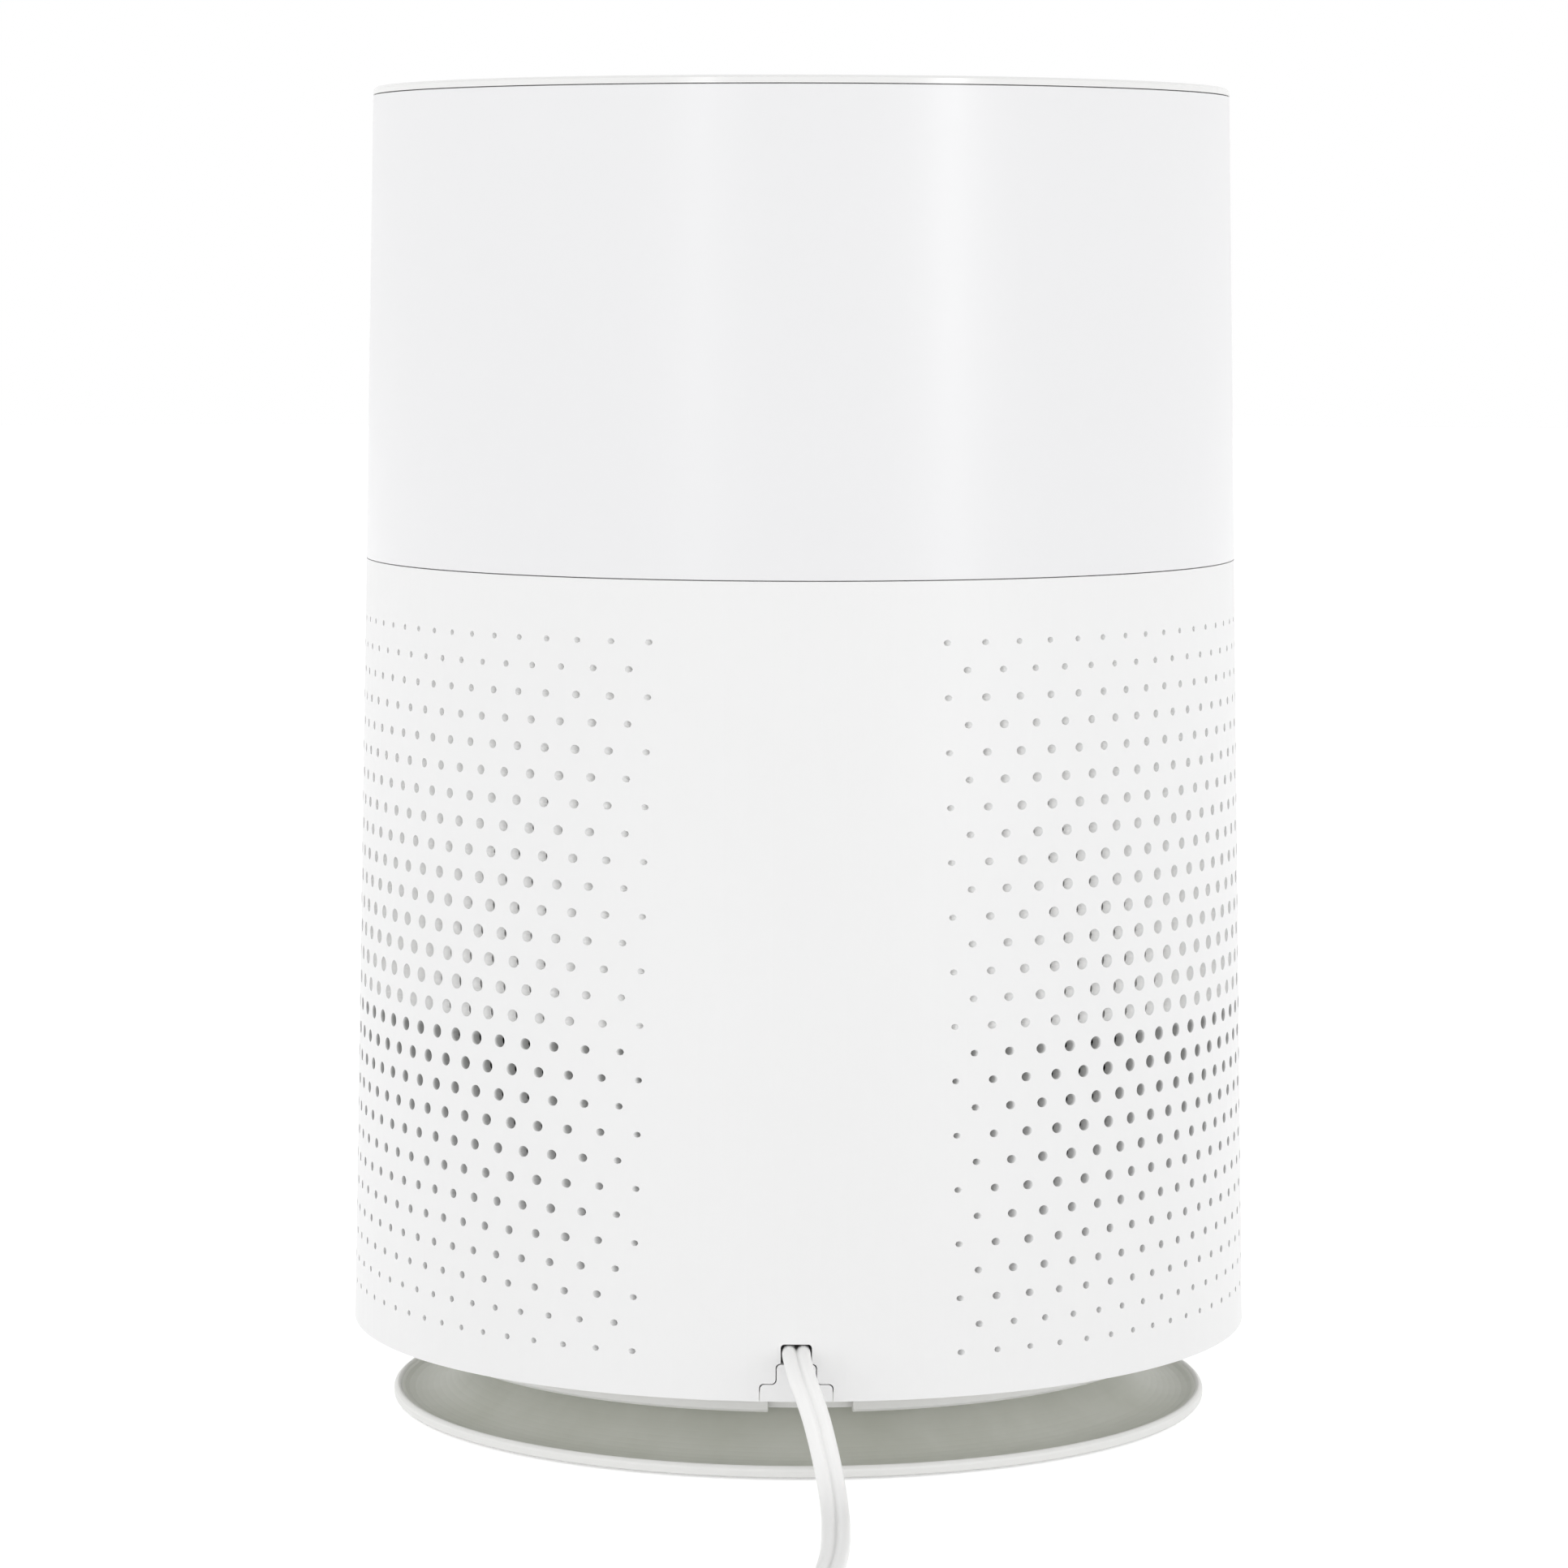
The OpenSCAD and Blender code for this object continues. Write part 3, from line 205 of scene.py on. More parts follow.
def plug_shell():
    """A moulded plug: ribbed strain relief, waist with finger grips, and a flat face."""
    x0, y0, z0 = PLUG_FACE
    stations = [  # distance back from the face, half width, half height, squareness
        (0.0, 10.9, 5.6, 5.0), (0.5, 11.7, 6.3, 5.0), (1.4, 12.0, 6.5, 5.0), (5.0, 12.0, 6.5, 4.6),
        (8.0, 11.5, 6.3, 4.2), (9.0, 10.9, 6.0, 4.0), (9.6, 11.2, 6.2, 4.0), (10.6, 11.2, 6.2, 4.0),
        (11.2, 10.4, 5.8, 3.8), (11.8, 10.8, 6.0, 3.8), (12.8, 10.7, 6.0, 3.8), (13.4, 9.8, 5.6, 3.6),
        (14.2, 10.0, 5.7, 3.6), (16.2, 8.4, 5.2, 3.2), (17.6, 6.4, 4.6, 2.8), (18.6, 5.3, 4.0, 2.6)]
    for k in range(6):  # rings of the strain relief
        back, share = 19.4 + 1.9 * k, 1 - 0.05 * k
        stations += [(back, 5.0 * share, 3.6 * share, 2.6), (back + 0.35, 4.35 * share, 3.0 * share, 2.6),
                     (back + 0.95, 4.35 * share, 3.0 * share, 2.6), (back + 1.3, 5.0 * share, 3.6 * share, 2.6)]
    rings = []
    for back, half_w, half_h, power in stations:
        ring = []
        for k in range(48):
            a = 2 * math.pi * k / 48
            c, s = math.cos(a), math.sin(a)
            ring.append((x0 + half_w * MM * math.copysign(abs(c) ** (2 / power), c),
                         y0 + back * MM,
                         z0 + half_h * MM * math.copysign(abs(s) ** (2 / power), s)))
        rings.append(ring)
    bm = bmesh.new()
    bridge_rings(bm, rings)
    piece = new_piece("plug_shell", bm)
    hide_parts("plug_body")
    return piece


def coil_tie():
    """A hook-and-loop strap round the coil."""
    r0, r1, low, high, round_ = 29.0 * MM, 53.2 * MM, 0.02 * MM, 7.95 * MM, 1.6 * MM
    thick, half_width, angle = 0.55 * MM, 7.5 * MM, math.radians(62)
    outline = []
    for cx, cz, a0 in ((r1 - round_, high - round_, 0), (r0 + round_, high - round_, 90),
                       (r0 + round_, low + round_, 180), (r1 - round_, low + round_, 270)):
        for k in range(6):
            a = math.radians(a0 + 18 * k)
            outline.append((cx + round_ * math.cos(a), cz + round_ * math.sin(a), math.cos(a), math.sin(a)))
    out, along = Vector((math.cos(angle), math.sin(angle), 0)), Vector((-math.sin(angle), math.cos(angle), 0))
    bm = bmesh.new()
    inner, outer = [], []
    for side in (-1, 1):
        middle = COIL_MIDDLE + along * (side * half_width)
        inner.append([bm.verts.new(middle + out * (r - thick * c) + Vector((0, 0, z - low * s)))
                      for r, z, c, s in outline])
        outer.append([bm.verts.new(middle + out * r + Vector((0, 0, z))) for r, z, c, s in outline])
    n = len(outline)
    for k in range(n):
        j = (k + 1) % n
        bm.faces.new((outer[0][k], outer[0][j], outer[1][j], outer[1][k]))
        bm.faces.new((inner[0][j], inner[0][k], inner[1][k], inner[1][j]))
        for side in (0, 1):
            bm.faces.new((outer[side][k], outer[side][j], inner[side][j], inner[side][k]))
    return new_piece("coil_tie", bm)


cord, cord_path = flat_cord()
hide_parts("power_cord", "cord_coil")
plug = plug_shell()
tie = coil_tie()


# ---------------------------------------------------------------- button symbols

def arc_band(radius, width, start, end, cuts=40):
    """A curved stroke as (inner, outer) point pairs, angles in degrees from +X."""
    pairs = []
    inner, outer = radius - width / 2, radius + width / 2
    for k in range(cuts + 1):
        a = math.radians(start + (end - start) * k / cuts)
        pairs.append((inner * math.cos(a), inner * math.sin(a), outer * math.cos(a), outer * math.sin(a)))
    return pairs


def bar(x0, y0, x1, y1, width):
    """A straight stroke as point pairs, with softly cut ends."""
    length = math.hypot(x1 - x0, y1 - y0)
    ux, uy = (x1 - x0) / length, (y1 - y0) / length
    pairs = []
    for along, share in ((0, 0.55), (0.18 * width, 0.85), (0.45 * width, 1), (length - 0.45 * width, 1),
                         (length - 0.18 * width, 0.85), (length, 0.55)):
        x, y, half = x0 + ux * along, y0 + uy * along, width / 2 * share
        pairs.append((x - uy * half, y + ux * half, x + uy * half, y - ux * half))
    return pairs


def blade(turn):
    """One curved fan blade, narrow at the hub and full at the tip."""
    pairs = []
    for k in range(11):
        t = k / 10
        a, half = math.radians(turn + 30 * t), 0.25 + 0.85 * math.sin(math.pi * t ** 0.8) ** 0.8
        x, y = (0.7 + 2.3 * t) * math.cos(a), (0.7 + 2.3 * t) * math.sin(a)
        pairs.append((x - half * math.sin(a), y + half * math.cos(a), x + half * math.sin(a), y - half * math.cos(a)))
    return pairs


def ray(turn):
    """A short stroke that points away from the middle."""
    a = math.radians(turn)
    return bar(2.1 * math.cos(a), 2.1 * math.sin(a), 3.1 * math.cos(a), 3.1 * math.sin(a), 0.45)


PRINT_SUNK, PRINT_PROUD = 0.01 * MM, 0.05 * MM
SYMBOLS = {     # strokes in millimetres from the middle of the button
    "button_power": [arc_band(3.6, 0.7, 122, 418), bar(0, 1.4, 0, 4.4, 0.7)],
    "button_speed": [blade(a) for a in (90, 210, 330)] + [arc_band(0.3, 0.45, 0, 360, 24)],
    "button_timer": [arc_band(2.8, 0.5, 0, 360), bar(0, -0.2, 0, 1.9, 0.45), bar(-0.15, 0, 1.4, 0, 0.45)],
    "button_light": [arc_band(1.2, 0.5, 0, 360, 32)] + [ray(45 * k) for k in range(8)],
    "button_reset": [arc_band(2.5, 0.5, 70, 350), bar(0.75, 2.45, -0.35, 3.25, 0.45),
                     bar(0.75, 2.45, -0.35, 1.45, 0.45)],
}


def symbol(button, strokes):
    """Thin raised print in the middle of a button's top, upright for someone at the front (+Y)."""
    low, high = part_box(button)
    x, y = (low[0] + high[0]) / 2, (low[1] + high[1]) / 2
    sunk, proud = high[2] - PRINT_SUNK, high[2] + PRINT_PROUD
    bm = bmesh.new()
    for stroke in strokes:
        rings = []
        for ax, ay, bx, by in stroke:
            a, b = (x - ax * MM, y - ay * MM), (x - bx * MM, y - by * MM)
            rings.append([a + (sunk,), b + (sunk,), b + (proud,), a + (proud,)])
        bridge_rings(bm, rings)
    return new_piece(button + "_symbol", bm, body=button, smooth=False)


symbols = [symbol(button, strokes) for button, strokes in SYMBOLS.items()]


# ---------------------------------------------------------------- shared surface effects

def group(name, inputs, outputs):
    """An empty shader node group: inputs {name: default}, outputs {name: kind}."""
    tree = bpy.data.node_groups.new(name, "ShaderNodeTree")
    for label, default in inputs.items():
        kind = "NodeSocketFloat" if isinstance(default, (int, float)) else "NodeSocketColor"
        socket = tree.interface.new_socket(label, in_out="INPUT", socket_type=kind)
        socket.default_value = default
    for label, kind in outputs.items():
        tree.interface.new_socket(label, in_out="OUTPUT", socket_type=kind)
    return tree, tree.nodes.new("NodeGroupInput"), tree.nodes.new("NodeGroupOutput")


def node(tree, kind, links=None, **settings):
    """A node with its settings; links {input: socket or value}."""
    n = tree.nodes.new("ShaderNode" + kind)
    for key, value in settings.items():
        setattr(n, key, value)
    for key, value in (links or {}).items():
        if isinstance(value, bpy.types.NodeSocket):
            tree.links.new(value, n.inputs[key])
        else:
            n.inputs[key].default_value = value
    return n


def place(tree):
    """Where a point is on the object, in metres."""
    return node(tree, "TexCoord").outputs["Object"]


def noise(tree, at, scale, detail=2.0, rough=0.5):
    """Smooth noise, mostly between 0.3 and 0.7."""
    links = {"Vector": at, "Scale": scale, "Detail": detail, "Roughness": rough}
    return node(tree, "TexNoise", links).outputs["Fac"]


def spread(tree, value, low, high, to_low, to_high):
    """The value's range from low to high, mapped to another one and held at its ends."""
    links = {"Value": value, "From Min": low, "From Max": high, "To Min": to_low, "To Max": to_high}
    return node(tree, "MapRange", links).outputs["Result"]


def maths(tree, kind, first, *others):
    """One operation on a value, or on several from left to right."""
    if not others:
        return node(tree, "Math", {0: first}, operation=kind).outputs[0]
    for other in others:
        first = node(tree, "Math", {0: first, 1: other}, operation=kind).outputs[0]
    return first


def mix(tree, share, first, second):
    """A colour between two others."""
    return node(tree, "Mix", {0: share, 6: first, 7: second}, data_type="RGBA").outputs[2]


def stretched(tree, scale):
    """The place on the object, scaled along each axis."""
    return node(tree, "Mapping", {"Vector": place(tree), "Scale": scale}).outputs[0]


def from_axis(tree):
    """Distance from the object's upright axis, and height, in metres."""
    xyz = node(tree, "SeparateXYZ", {0: place(tree)}).outputs
    flat = node(tree, "CombineXYZ", {0: xyz["X"], 1: xyz["Y"], 2: 0.0}).outputs[0]
    return node(tree, "VectorMath", {0: flat}, operation="LENGTH").outputs["Value"], xyz["Z"]


def looked_at(tree):
    """1 where a surface is seen straight, mirrored or through something clear, 0 for light on its way."""
    path = node(tree, "LightPath").outputs
    return maths(tree, "MAXIMUM", path["Is Camera Ray"], path["Is Glossy Ray"], path["Is Transmission Ray"])


def moulded_grain():
    """Fine spark-eroded grain, and a roughness that wanders over the wall."""
    tree, into, out = group("moulded_grain", {"Grain per metre": 2600.0},
                            {"Height": "NodeSocketFloat", "Rough shift": "NodeSocketFloat"})
    at = place(tree)
    tree.links.new(noise(tree, at, into.outputs["Grain per metre"], 3.0, 0.6), out.inputs["Height"])
    tree.links.new(spread(tree, noise(tree, at, 55.0, 3.0, 0.6), 0.3, 0.7, -0.5, 0.5), out.inputs["Rough shift"])
    return tree


HAND_MARK, DUST = (0.35, 0.36, 0.36, 1), (0.62, 0.60, 0.55, 1)


def handled():
    """Cloudy handling marks and settled dust, stronger low down, as colour and roughness masks."""
    tree, into, out = group("handled", {"Colour": (1, 1, 1, 1), "Dust": 0.05, "Tone": 0.02},
                            {"Colour": "NodeSocketColor", "Mask": "NodeSocketFloat"})
    at = place(tree)
    cloud = spread(tree, noise(tree, at, 9.0, 4.0, 0.62), 0.32, 0.68, 0.0, 1.0)
    low = spread(tree, node(tree, "SeparateXYZ", {0: at}).outputs["Z"], 0.0, 0.12, 1.0, 0.35)
    speck = spread(tree, noise(tree, at, 420.0, 2.0, 0.6), 0.55, 0.72, 0.0, 1.0)
    mask = maths(tree, "MULTIPLY", cloud, low, maths(tree, "ADD", 0.6, maths(tree, "MULTIPLY", speck, 0.4)))
    marked = mix(tree, maths(tree, "MULTIPLY", cloud, into.outputs["Tone"]), into.outputs["Colour"], HAND_MARK)
    dusty = mix(tree, maths(tree, "MULTIPLY", mask, into.outputs["Dust"]), marked, DUST)
    tree.links.new(dusty, out.inputs["Colour"])
    tree.links.new(mask, out.inputs["Mask"])
    return tree


def round_weave():
    """A weave that follows a drum: threads round it and up it, as height and a hole mask."""
    tree, into, out = group("round_weave", {"Threads per metre": 900.0, "Radius": 0.086},
                            {"Height": "NodeSocketFloat", "Gap": "NodeSocketFloat"})
    xyz = node(tree, "SeparateXYZ", {0: place(tree)}).outputs
    around = maths(tree, "MULTIPLY", maths(tree, "ARCTAN2", xyz["Y"], xyz["X"]), into.outputs["Radius"])
    threads = []
    for way in (around, xyz["Z"]):
        phase = maths(tree, "MULTIPLY", way, into.outputs["Threads per metre"], math.pi)
        threads.append(maths(tree, "ABSOLUTE", maths(tree, "SINE", phase)))
    low = maths(tree, "MINIMUM", *threads)
    tree.links.new(maths(tree, "SUBTRACT", 1.0, low), out.inputs["Height"])
    tree.links.new(spread(tree, low, 0.35, 0.6, 0.0, 1.0), out.inputs["Gap"])
    return tree


def drawn_metal():
    """Fine lines round a turned or rolled metal piece."""
    tree, into, out = group("drawn_metal", {"Lines per metre": 5200.0},
                            {"Height": "NodeSocketFloat", "Tone": "NodeSocketFloat"})
    lines = noise(tree, stretched(tree, (0.06, 0.06, 1.0)), into.outputs["Lines per metre"], 3.0, 0.7)
    blot = noise(tree, place(tree), 260.0, 2.0, 0.5)
    tree.links.new(lines, out.inputs["Height"])
    tone = maths(tree, "ADD", maths(tree, "MULTIPLY", lines, 0.6), maths(tree, "MULTIPLY", blot, 0.4))
    tree.links.new(tone, out.inputs["Tone"])
    return tree


GRAIN, HANDLED, WEAVE, DRAWN = moulded_grain(), handled(), round_weave(), drawn_metal()


# ---------------------------------------------------------------- finishes

def linear(r, g, b):
    """A display colour, 0 to 255, as scene-linear values."""
    shares = (r / 255, g / 255, b / 255)
    return tuple(c / 12.92 if c <= 0.04045 else ((c + 0.055) / 1.055) ** 2.4 for c in shares) + (1.0,)


def blank(name, **constants):
    """A new material with its tree and shader; constants are the shader's inputs with _ for a space."""
    material = bpy.data.materials.new(name)
    material.use_nodes = True
    tree = material.node_tree
    shader = next(n for n in tree.nodes if n.type == "BSDF_PRINCIPLED")
    for key, value in constants.items():
        shader.inputs[key.replace("_", " ")].default_value = value
    return material, tree, shader


def use(tree, source, **values):
    """A shared effect put into a material; returns its outputs."""
    n = tree.nodes.new("ShaderNodeGroup")
    n.node_tree = source
    for key, value in values.items():
        socket = n.inputs[key.replace("_", " ")]
        if isinstance(value, bpy.types.NodeSocket):
            tree.links.new(value, socket)
        else:
            socket.default_value = value
    return n.outputs


def bump(tree, shader, height, strength, distance):
    """Height as a small tilt of the surface; distance in metres."""
    n = node(tree, "Bump", {"Height": height, "Strength": strength, "Distance": distance})
    tree.links.new(n.outputs["Normal"], shader.inputs["Normal"])


def moulded(name, colour, rough, grain=2600.0, depth=0.02, dust=0.04, tone=0.015, swing=0.06, **constants):
    """Moulded plastic or rubber: colour clouding, dust, grain bump and a roughness that wanders a little."""
    material, tree, shader = blank(name, **constants)
    marks = use(tree, HANDLED, Colour=colour, Dust=dust, Tone=tone)
    grainy = use(tree, GRAIN, Grain_per_metre=grain)
    tree.links.new(marks["Colour"], shader.inputs["Base Color"])
    shift = maths(tree, "MULTIPLY", grainy["Rough shift"], swing)
    level = maths(tree, "ADD", shift, rough, maths(tree, "MULTIPLY", marks["Mask"], swing))
    tree.links.new(level, shader.inputs["Roughness"])
    bump(tree, shader, grainy["Height"], 0.5, depth * MM)
    return material


# Painted shade: the colour that the middle of the dish under the body is darkened towards.
DISH_PAINTED_SHADE = (0.36, 0.37, 0.32, 1)


def dished(name, rim_colour, dish_shade_colour, rough):
    """The base: its own colour at the rim, and a dish under the body painted darker as painted shade, deepest towards
    the middle and broken by soft lighter clouding, with handling marks and dust over all.
    """
    material, tree, shader = blank(name)
    out, _ = from_axis(tree)
    # The rim keeps its own colour; the dish inside it is painted darker as painted shade under the body, darker still
    # towards the middle.
    rim = spread(tree, out, 111.2 * MM, 112.1 * MM, 0.0, 1.0)
    dish_shade_share = spread(tree, out, 78.0 * MM, 108.0 * MM, 0.55, 0.0)
    cloud = spread(tree, noise(tree, stretched(tree, (1, 1, 0.2)), 34.0, 4.0, 0.6), 0.3, 0.7, 0.0, 0.22)
    shaded_dish = mix(tree, dish_shade_share, dish_shade_colour, DISH_PAINTED_SHADE)
    shaded_and_scuffed = mix(tree, cloud, shaded_dish, rim_colour)
    marks = use(tree, HANDLED, Colour=mix(tree, rim, shaded_and_scuffed, rim_colour), Dust=0.05, Tone=0.02)
    grainy = use(tree, GRAIN, Grain_per_metre=2200.0)
    tree.links.new(marks["Colour"], shader.inputs["Base Color"])
    level = maths(tree, "ADD", maths(tree, "MULTIPLY", grainy["Rough shift"], 0.08), rough)
    tree.links.new(level, shader.inputs["Roughness"])
    bump(tree, shader, grainy["Height"], 0.5, 0.02 * MM)
    return material


OUTER_AT_FLOOR, TAPER = 125.18 * MM, 0.0205     # the sleeve's outer radius at the floor, and its fall with height
BAY_TOP = 114.5 * MM                            # above it the liner's white wall stands behind the holes


def sleeve_finish(name, colour, hole_shade_colour, rough):
    """Satin sleeve: clean outside; the hole walls beside the filter bay are painted grey as painted shade, and the hole
    walls above it are painted a brighter white as painted light.
    """
    material, tree, shader = blank(name)
    out, height = from_axis(tree)
    face = maths(tree, "SUBTRACT", OUTER_AT_FLOOR, maths(tree, "MULTIPLY", height, TAPER))
    inside = spread(tree, maths(tree, "SUBTRACT", face, out), 0.15 * MM, 0.8 * MM, 0.0, 1.0)
    below = spread(tree, height, BAY_TOP - 1.0 * MM, BAY_TOP + 1.0 * MM, 1.0, 0.0)
    # Painted shade: the hole walls beside the filter bay are painted grey, stronger higher up.
    hole_shade_strength = spread(tree, height, 30.0 * MM, 108.0 * MM, 0.10, 0.64)
    above_edge = spread(tree, height, 28.0 * MM, 31.0 * MM, 0.0, 1.0)
    painted_hole_shade = maths(tree, "MULTIPLY", inside, below, hole_shade_strength, above_edge)
    # Painted light: the hole walls above the filter bay are painted a brighter white.
    painted_hole_light = maths(tree, "MULTIPLY", inside, maths(tree, "SUBTRACT", 1.0, below))
    marks = use(tree, HANDLED, Colour=colour, Dust=0.04, Tone=0.015)
    colour_with_lit_holes = mix(tree, painted_hole_light, marks["Colour"], linear(252, 252, 251))
    grainy = use(tree, GRAIN, Grain_per_metre=2600.0)
    tree.links.new(mix(tree, painted_hole_shade, colour_with_lit_holes, hole_shade_colour), shader.inputs["Base Color"])
    shift = maths(tree, "MULTIPLY", grainy["Rough shift"], 0.06)
    level = maths(tree, "ADD", shift, rough, maths(tree, "MULTIPLY", painted_hole_shade, 0.3))
    tree.links.new(level, shader.inputs["Roughness"])
    bump(tree, shader, grainy["Height"], 0.5, 0.012 * MM)
    return material


def metal(name, colour, rough, depth=0.004, lines=5200.0):
    """Plated or turned metal, darker and rougher along its drawn lines."""
    material, tree, shader = blank(name, Metallic=1.0)
    drawn = use(tree, DRAWN, Lines_per_metre=lines)
    dark = tuple(c * 0.72 for c in colour[:3]) + (1.0,)
    tree.links.new(mix(tree, drawn["Tone"], dark, colour), shader.inputs["Base Color"])
    tree.links.new(spread(tree, drawn["Tone"], 0.0, 1.0, rough + 0.12, rough - 0.06), shader.inputs["Roughness"])
    bump(tree, shader, drawn["Height"], 0.4, depth * MM)
    return material


def woven(name, colour, gap_shade_colour, threads, radius, rough=0.85, depth=0.12, sheen=0.25):
    """Threads that cross, with the gaps between them painted in a darker colour as painted shade."""
    material, tree, shader = blank(name, Sheen_Weight=sheen)
    weave = use(tree, WEAVE, Threads_per_metre=threads, Radius=radius)
    marks = use(tree, HANDLED, Colour=colour, Dust=0.05, Tone=0.06)
    tree.links.new(mix(tree, weave["Gap"], marks["Colour"], gap_shade_colour), shader.inputs["Base Color"])
    tree.links.new(spread(tree, weave["Height"], 0.0, 1.0, rough + 0.1, rough - 0.1), shader.inputs["Roughness"])
    bump(tree, shader, weave["Height"], 0.8, depth * MM)
    return material


def pleated_paper():
    """Filter paper: long fibres, soft mottling, and dirt drawn to the outer folds."""
    material, tree, shader = blank("filter_paper")
    fibres = noise(tree, stretched(tree, (1, 1, 0.12)), 5200.0, 4.0, 0.7)
    mottle = noise(tree, place(tree), 120.0, 3.0, 0.6)
    out, _ = from_axis(tree)
    dirt = maths(tree, "MULTIPLY", spread(tree, out, 76.0 * MM, 85.5 * MM, 0.0, 0.35), mottle)
    clean = mix(tree, fibres, linear(226, 223, 210), linear(246, 244, 236))
    tree.links.new(mix(tree, dirt, clean, linear(150, 146, 134)), shader.inputs["Base Color"])
    tree.links.new(spread(tree, fibres, 0, 1, 0.95, 0.8), shader.inputs["Roughness"])
    bump(tree, shader, fibres, 0.6, 0.08 * MM)
    return material


def solder_mask():
    """Green board with a faint copper pattern showing through and small pads."""
    material, tree, shader = blank("board", Specular_IOR_Level=0.5)
    at = place(tree)
    tracks = node(tree, "TexBrick", {"Vector": at, "Scale": 260.0, "Mortar Size": 0.04, "Mortar Smooth": 0.1,
                                     "Color1": (0, 0, 0, 1), "Color2": (0.1, 0.1, 0.1, 1), "Mortar": (1, 1, 1, 1)})
    pads = node(tree, "TexVoronoi", {"Vector": at, "Scale": 330.0}).outputs["Distance"]
    dots = spread(tree, pads, 0.12, 0.16, 1.0, 0.0)
    mask = mix(tree, tracks.outputs["Fac"], linear(12, 72, 40), linear(26, 104, 58))
    tree.links.new(mix(tree, dots, mask, linear(196, 190, 170)), shader.inputs["Base Color"])
    tree.links.new(spread(tree, noise(tree, at, 300.0), 0.3, 0.7, 0.25, 0.4), shader.inputs["Roughness"])
    bump(tree, shader, maths(tree, "ADD", tracks.outputs["Fac"], dots), 0.3, 0.03 * MM)
    return material


def diffuser():
    """Frosted light ring: milky, with a faint inner cloudiness."""
    material, tree, shader = blank("light_diffuser", Subsurface_Weight=0.2, Coat_Roughness=0.25)
    marks = use(tree, HANDLED, Colour=linear(226, 233, 238), Dust=0.03, Tone=0.03)
    grainy = use(tree, GRAIN, Grain_per_metre=3600.0)
    tree.links.new(marks["Colour"], shader.inputs["Base Color"])
    tree.links.new(spread(tree, grainy["Rough shift"], -0.5, 0.5, 0.42, 0.52), shader.inputs["Roughness"])
    bump(tree, shader, grainy["Height"], 0.3, 0.01 * MM)
    return material


FINISH = {     # material slot of the record: finish
    # The sleeve's second colour is painted shade for the hole walls beside the filter bay.
    "sleeve_white": sleeve_finish("sleeve_satin", linear(243, 243, 243), linear(128, 129, 125), 0.46),
    "shell_white": moulded("shell_gloss", linear(240, 240, 241), 0.34, grain=700.0, depth=0.0015, dust=0.015, tone=0.01,
                           swing=0.03, Specular_IOR_Level=0.45, Coat_Weight=0.06, Coat_Roughness=0.2),
    "trim_white": moulded("trim_gloss", linear(241, 241, 240), 0.2, grain=900.0, depth=0.002, dust=0.02, swing=0.03),
    "inner_white": moulded("inner_matt", linear(241, 241, 239), 0.6, grain=1900.0, depth=0.03, dust=0.08, tone=0.02),
    # The base's second colour is painted shade for the dish under the body.
    "base_grey": dished("base_satin", linear(243, 243, 241), linear(208, 210, 200), 0.5),
    "grille_white": moulded("grille_satin", linear(236, 236, 235), 0.42, depth=0.015, dust=0.07),
    "panel": moulded("panel_gloss", linear(237, 238, 239), 0.18, grain=800.0, depth=0.002, dust=0.03, swing=0.04,
                     Coat_Weight=0.3, Coat_Roughness=0.06),
    "button": moulded("button_satin", linear(228, 229, 230), 0.38, grain=2400.0, depth=0.012, dust=0.04, tone=0.04),
    "light": diffuser(),
    "lens": moulded("smoked_lens", (0.012, 0.012, 0.014, 1), 0.08, grain=500.0, depth=0.001, dust=0.02, tone=0.0,
                    swing=0.05, Coat_Weight=0.5, Coat_Roughness=0.03),
    "pad_rubber": moulded("pad_rubber", linear(62, 62, 62), 0.78, grain=1500.0, depth=0.06, dust=0.25, tone=0.1),
    "seal_foam": moulded("seal_foam", linear(48, 48, 50), 0.95, grain=1100.0, depth=0.35, dust=0.10, tone=0.15),
    "filter_paper": pleated_paper(),
    # The prefilter's second colour is painted shade in the gaps of its weave.
    "filter_mesh": woven("prefilter_mesh", linear(30, 31, 33), linear(9, 9, 10), 1100.0, 0.0868, sheen=0.02),
    "filter_cap": moulded("cap_matt", linear(84, 86, 88), 0.6, grain=1800.0, depth=0.04, dust=0.06, tone=0.06),
    "filter_core": moulded("core_matt", linear(72, 73, 74), 0.6, grain=1800.0, depth=0.04, dust=0.15, tone=0.06),
    # The webbing's second colour is painted shade between its threads.
    "tab": woven("webbing", linear(104, 108, 114), linear(58, 60, 64), 1400.0, 0.05),
    "steel": metal("zinc_plated", linear(196, 198, 200), 0.32),
    "motor": moulded("motor_paint", linear(58, 59, 62), 0.42, grain=1400.0, depth=0.03, dust=0.08, tone=0.08,
                     Metallic=0.35),
    "fan_grey": moulded("fan_matt", linear(92, 95, 98), 0.5, grain=1900.0, depth=0.025, dust=0.12, tone=0.08),
    "board": solder_mask(),
    "components": moulded("wound_parts", linear(150, 128, 60), 0.45, grain=2600.0, depth=0.08, dust=0.08, tone=0.2),
    "switch": moulded("switch_black", linear(38, 38, 40), 0.5, grain=2600.0, depth=0.02, dust=0.08, tone=0.05),
    "wire_brown": moulded("wire_brown", linear(112, 68, 42), 0.45, grain=2600.0, depth=0.02, dust=0.06, tone=0.08),
    "wire_red": moulded("wire_red", linear(170, 38, 34), 0.45, grain=2600.0, depth=0.02, dust=0.06, tone=0.08),
    "cord_white": moulded("cord_vinyl", linear(249, 249, 248), 0.42, grain=2400.0, depth=0.02, dust=0.03, tone=0.02),
    "blade_brass": metal("nickel_plate", linear(214, 206, 184), 0.22, depth=0.002, lines=7000.0),
}
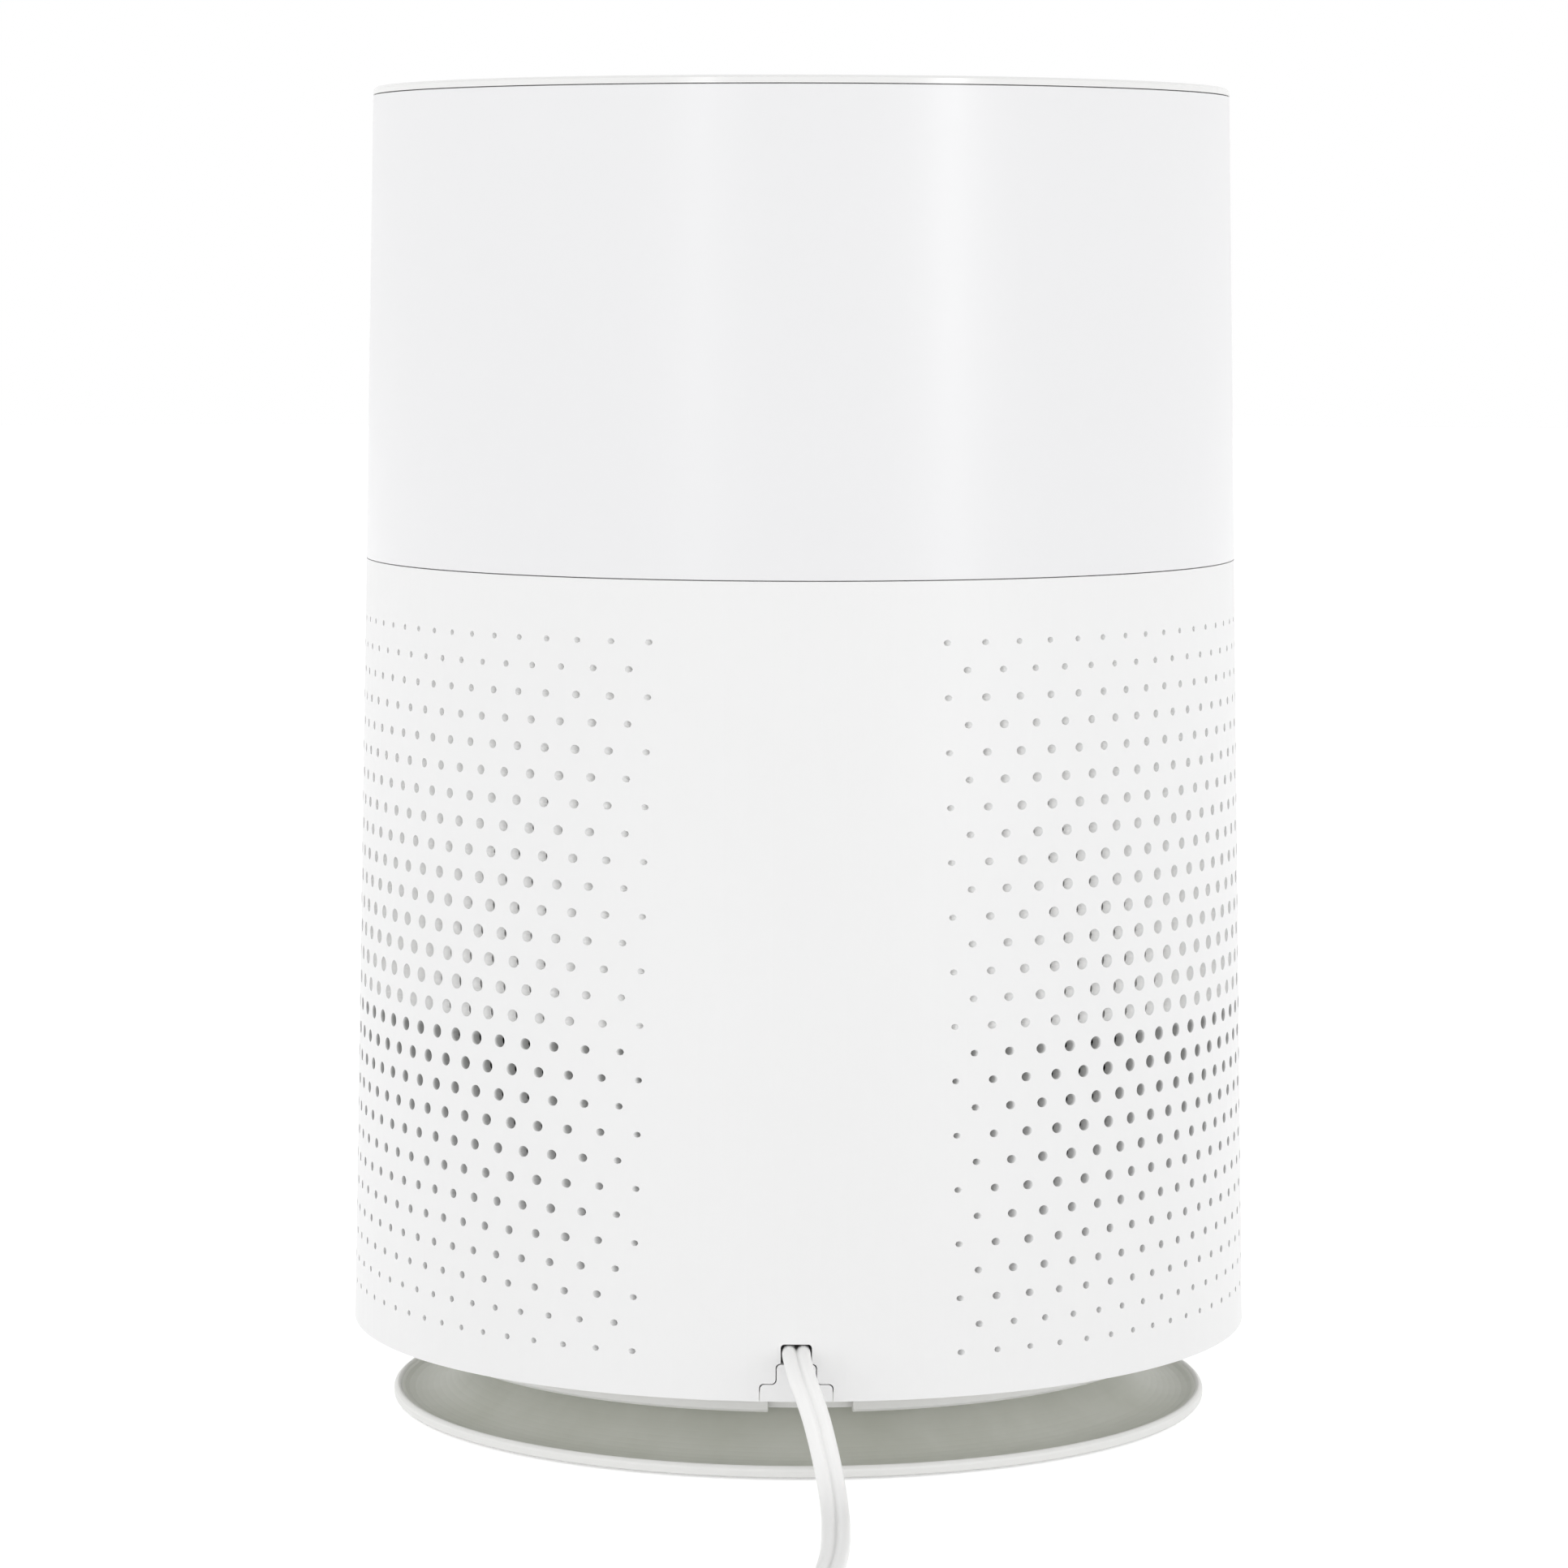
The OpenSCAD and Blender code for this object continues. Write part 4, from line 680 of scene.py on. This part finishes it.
# Painted light: the liner's wall behind the upper holes is a brighter white than the other inner pieces, so that it
# looks lit through the holes.
PAINTED_LIGHT_LINER = moulded("liner_painted_light", linear(252, 252, 251), 0.7, grain=1900.0, depth=0.02, dust=0.02, tone=0.0)

slot_of = {part["node"]: part["material_slot"] for part in frame["record"]["subparts"]}
for name, part in nodes.items():
    part.data.materials.clear()
    part.data.materials.append(PAINTED_LIGHT_LINER if name == "inner_liner" else FINISH[slot_of[name]])
cord.data.materials.append(FINISH["cord_white"])
plug.data.materials.append(FINISH["cord_white"])
tie.data.materials.append(FINISH["tab"])
for mark in symbols:
    mark.data.materials.append(FINISH["switch"])


# ---------------------------------------------------------------- surroundings

GROUND_LIFT, GROUND_RADIUS = 0.55, 9.0


def bright_ground():
    """Pale ground that keeps the soft shadow: lifted only for what looks straight at it."""
    material, tree, shader = blank("ground", Roughness=0.9, Specular_IOR_Level=0.1, Emission_Color=(1, 1, 1, 1))
    colour = mix(tree, noise(tree, place(tree), 6.0), (0.89, 0.89, 0.89, 1), (0.91, 0.91, 0.91, 1))
    tree.links.new(colour, shader.inputs["Base Color"])
    tree.links.new(maths(tree, "MULTIPLY", looked_at(tree), GROUND_LIFT), shader.inputs["Emission Strength"])
    return material


def ground():
    bm = bmesh.new()
    bmesh.ops.create_circle(bm, cap_ends=True, radius=GROUND_RADIUS, segments=96)
    floor = new_piece("ground", bm, bright_ground(), body=None, smooth=False)


def sky(low, high):
    """Soft light from all round, from low near the horizon to high overhead, and white to the eye."""
    world = bpy.data.worlds.new("studio")
    scene.world = world
    world.use_nodes = True
    tree = world.node_tree
    back = next(n for n in tree.nodes if n.type == "BACKGROUND")
    back.inputs["Color"].default_value = (1, 1, 1, 1)
    rise = node(tree, "SeparateXYZ", {0: node(tree, "TexCoord").outputs["Generated"]}).outputs["Z"]
    level = node(tree, "MapRange", {"Value": rise, "From Min": 0.1, "From Max": 0.75, "To Min": low, "To Max": high},
                 interpolation_type="SMOOTHSTEP").outputs["Result"]
    strength = node(tree, "Mix", {0: looked_at(tree), 2: level, 3: 1.0}).outputs[0]
    tree.links.new(strength, back.inputs["Strength"])


def strip_light(name, place_at, power):
    """A tall narrow light that shows only as a soft highlight down the body."""
    lamp = bpy.data.lights.new(name, "AREA")
    lamp.shape, lamp.size, lamp.size_y, lamp.energy = "RECTANGLE", 0.22, 1.6, power
    box = bpy.data.objects.new(name, lamp)
    box.location = place_at
    box.rotation_euler = (Vector((0, 0, 0.22)) - Vector(place_at)).to_track_quat("-Z", "Y").to_euler()
    box.visible_camera = box.visible_diffuse = False
    scene.collection.objects.link(box)


ground()
sky(1.79, 0.56)
strip_light("right_strip", (1.62, -2.0, 1.0), 14.0)
strip_light("left_strip", (-1.1, -2.3, 1.0), 6.0)

scene.view_settings.view_transform = "Standard"
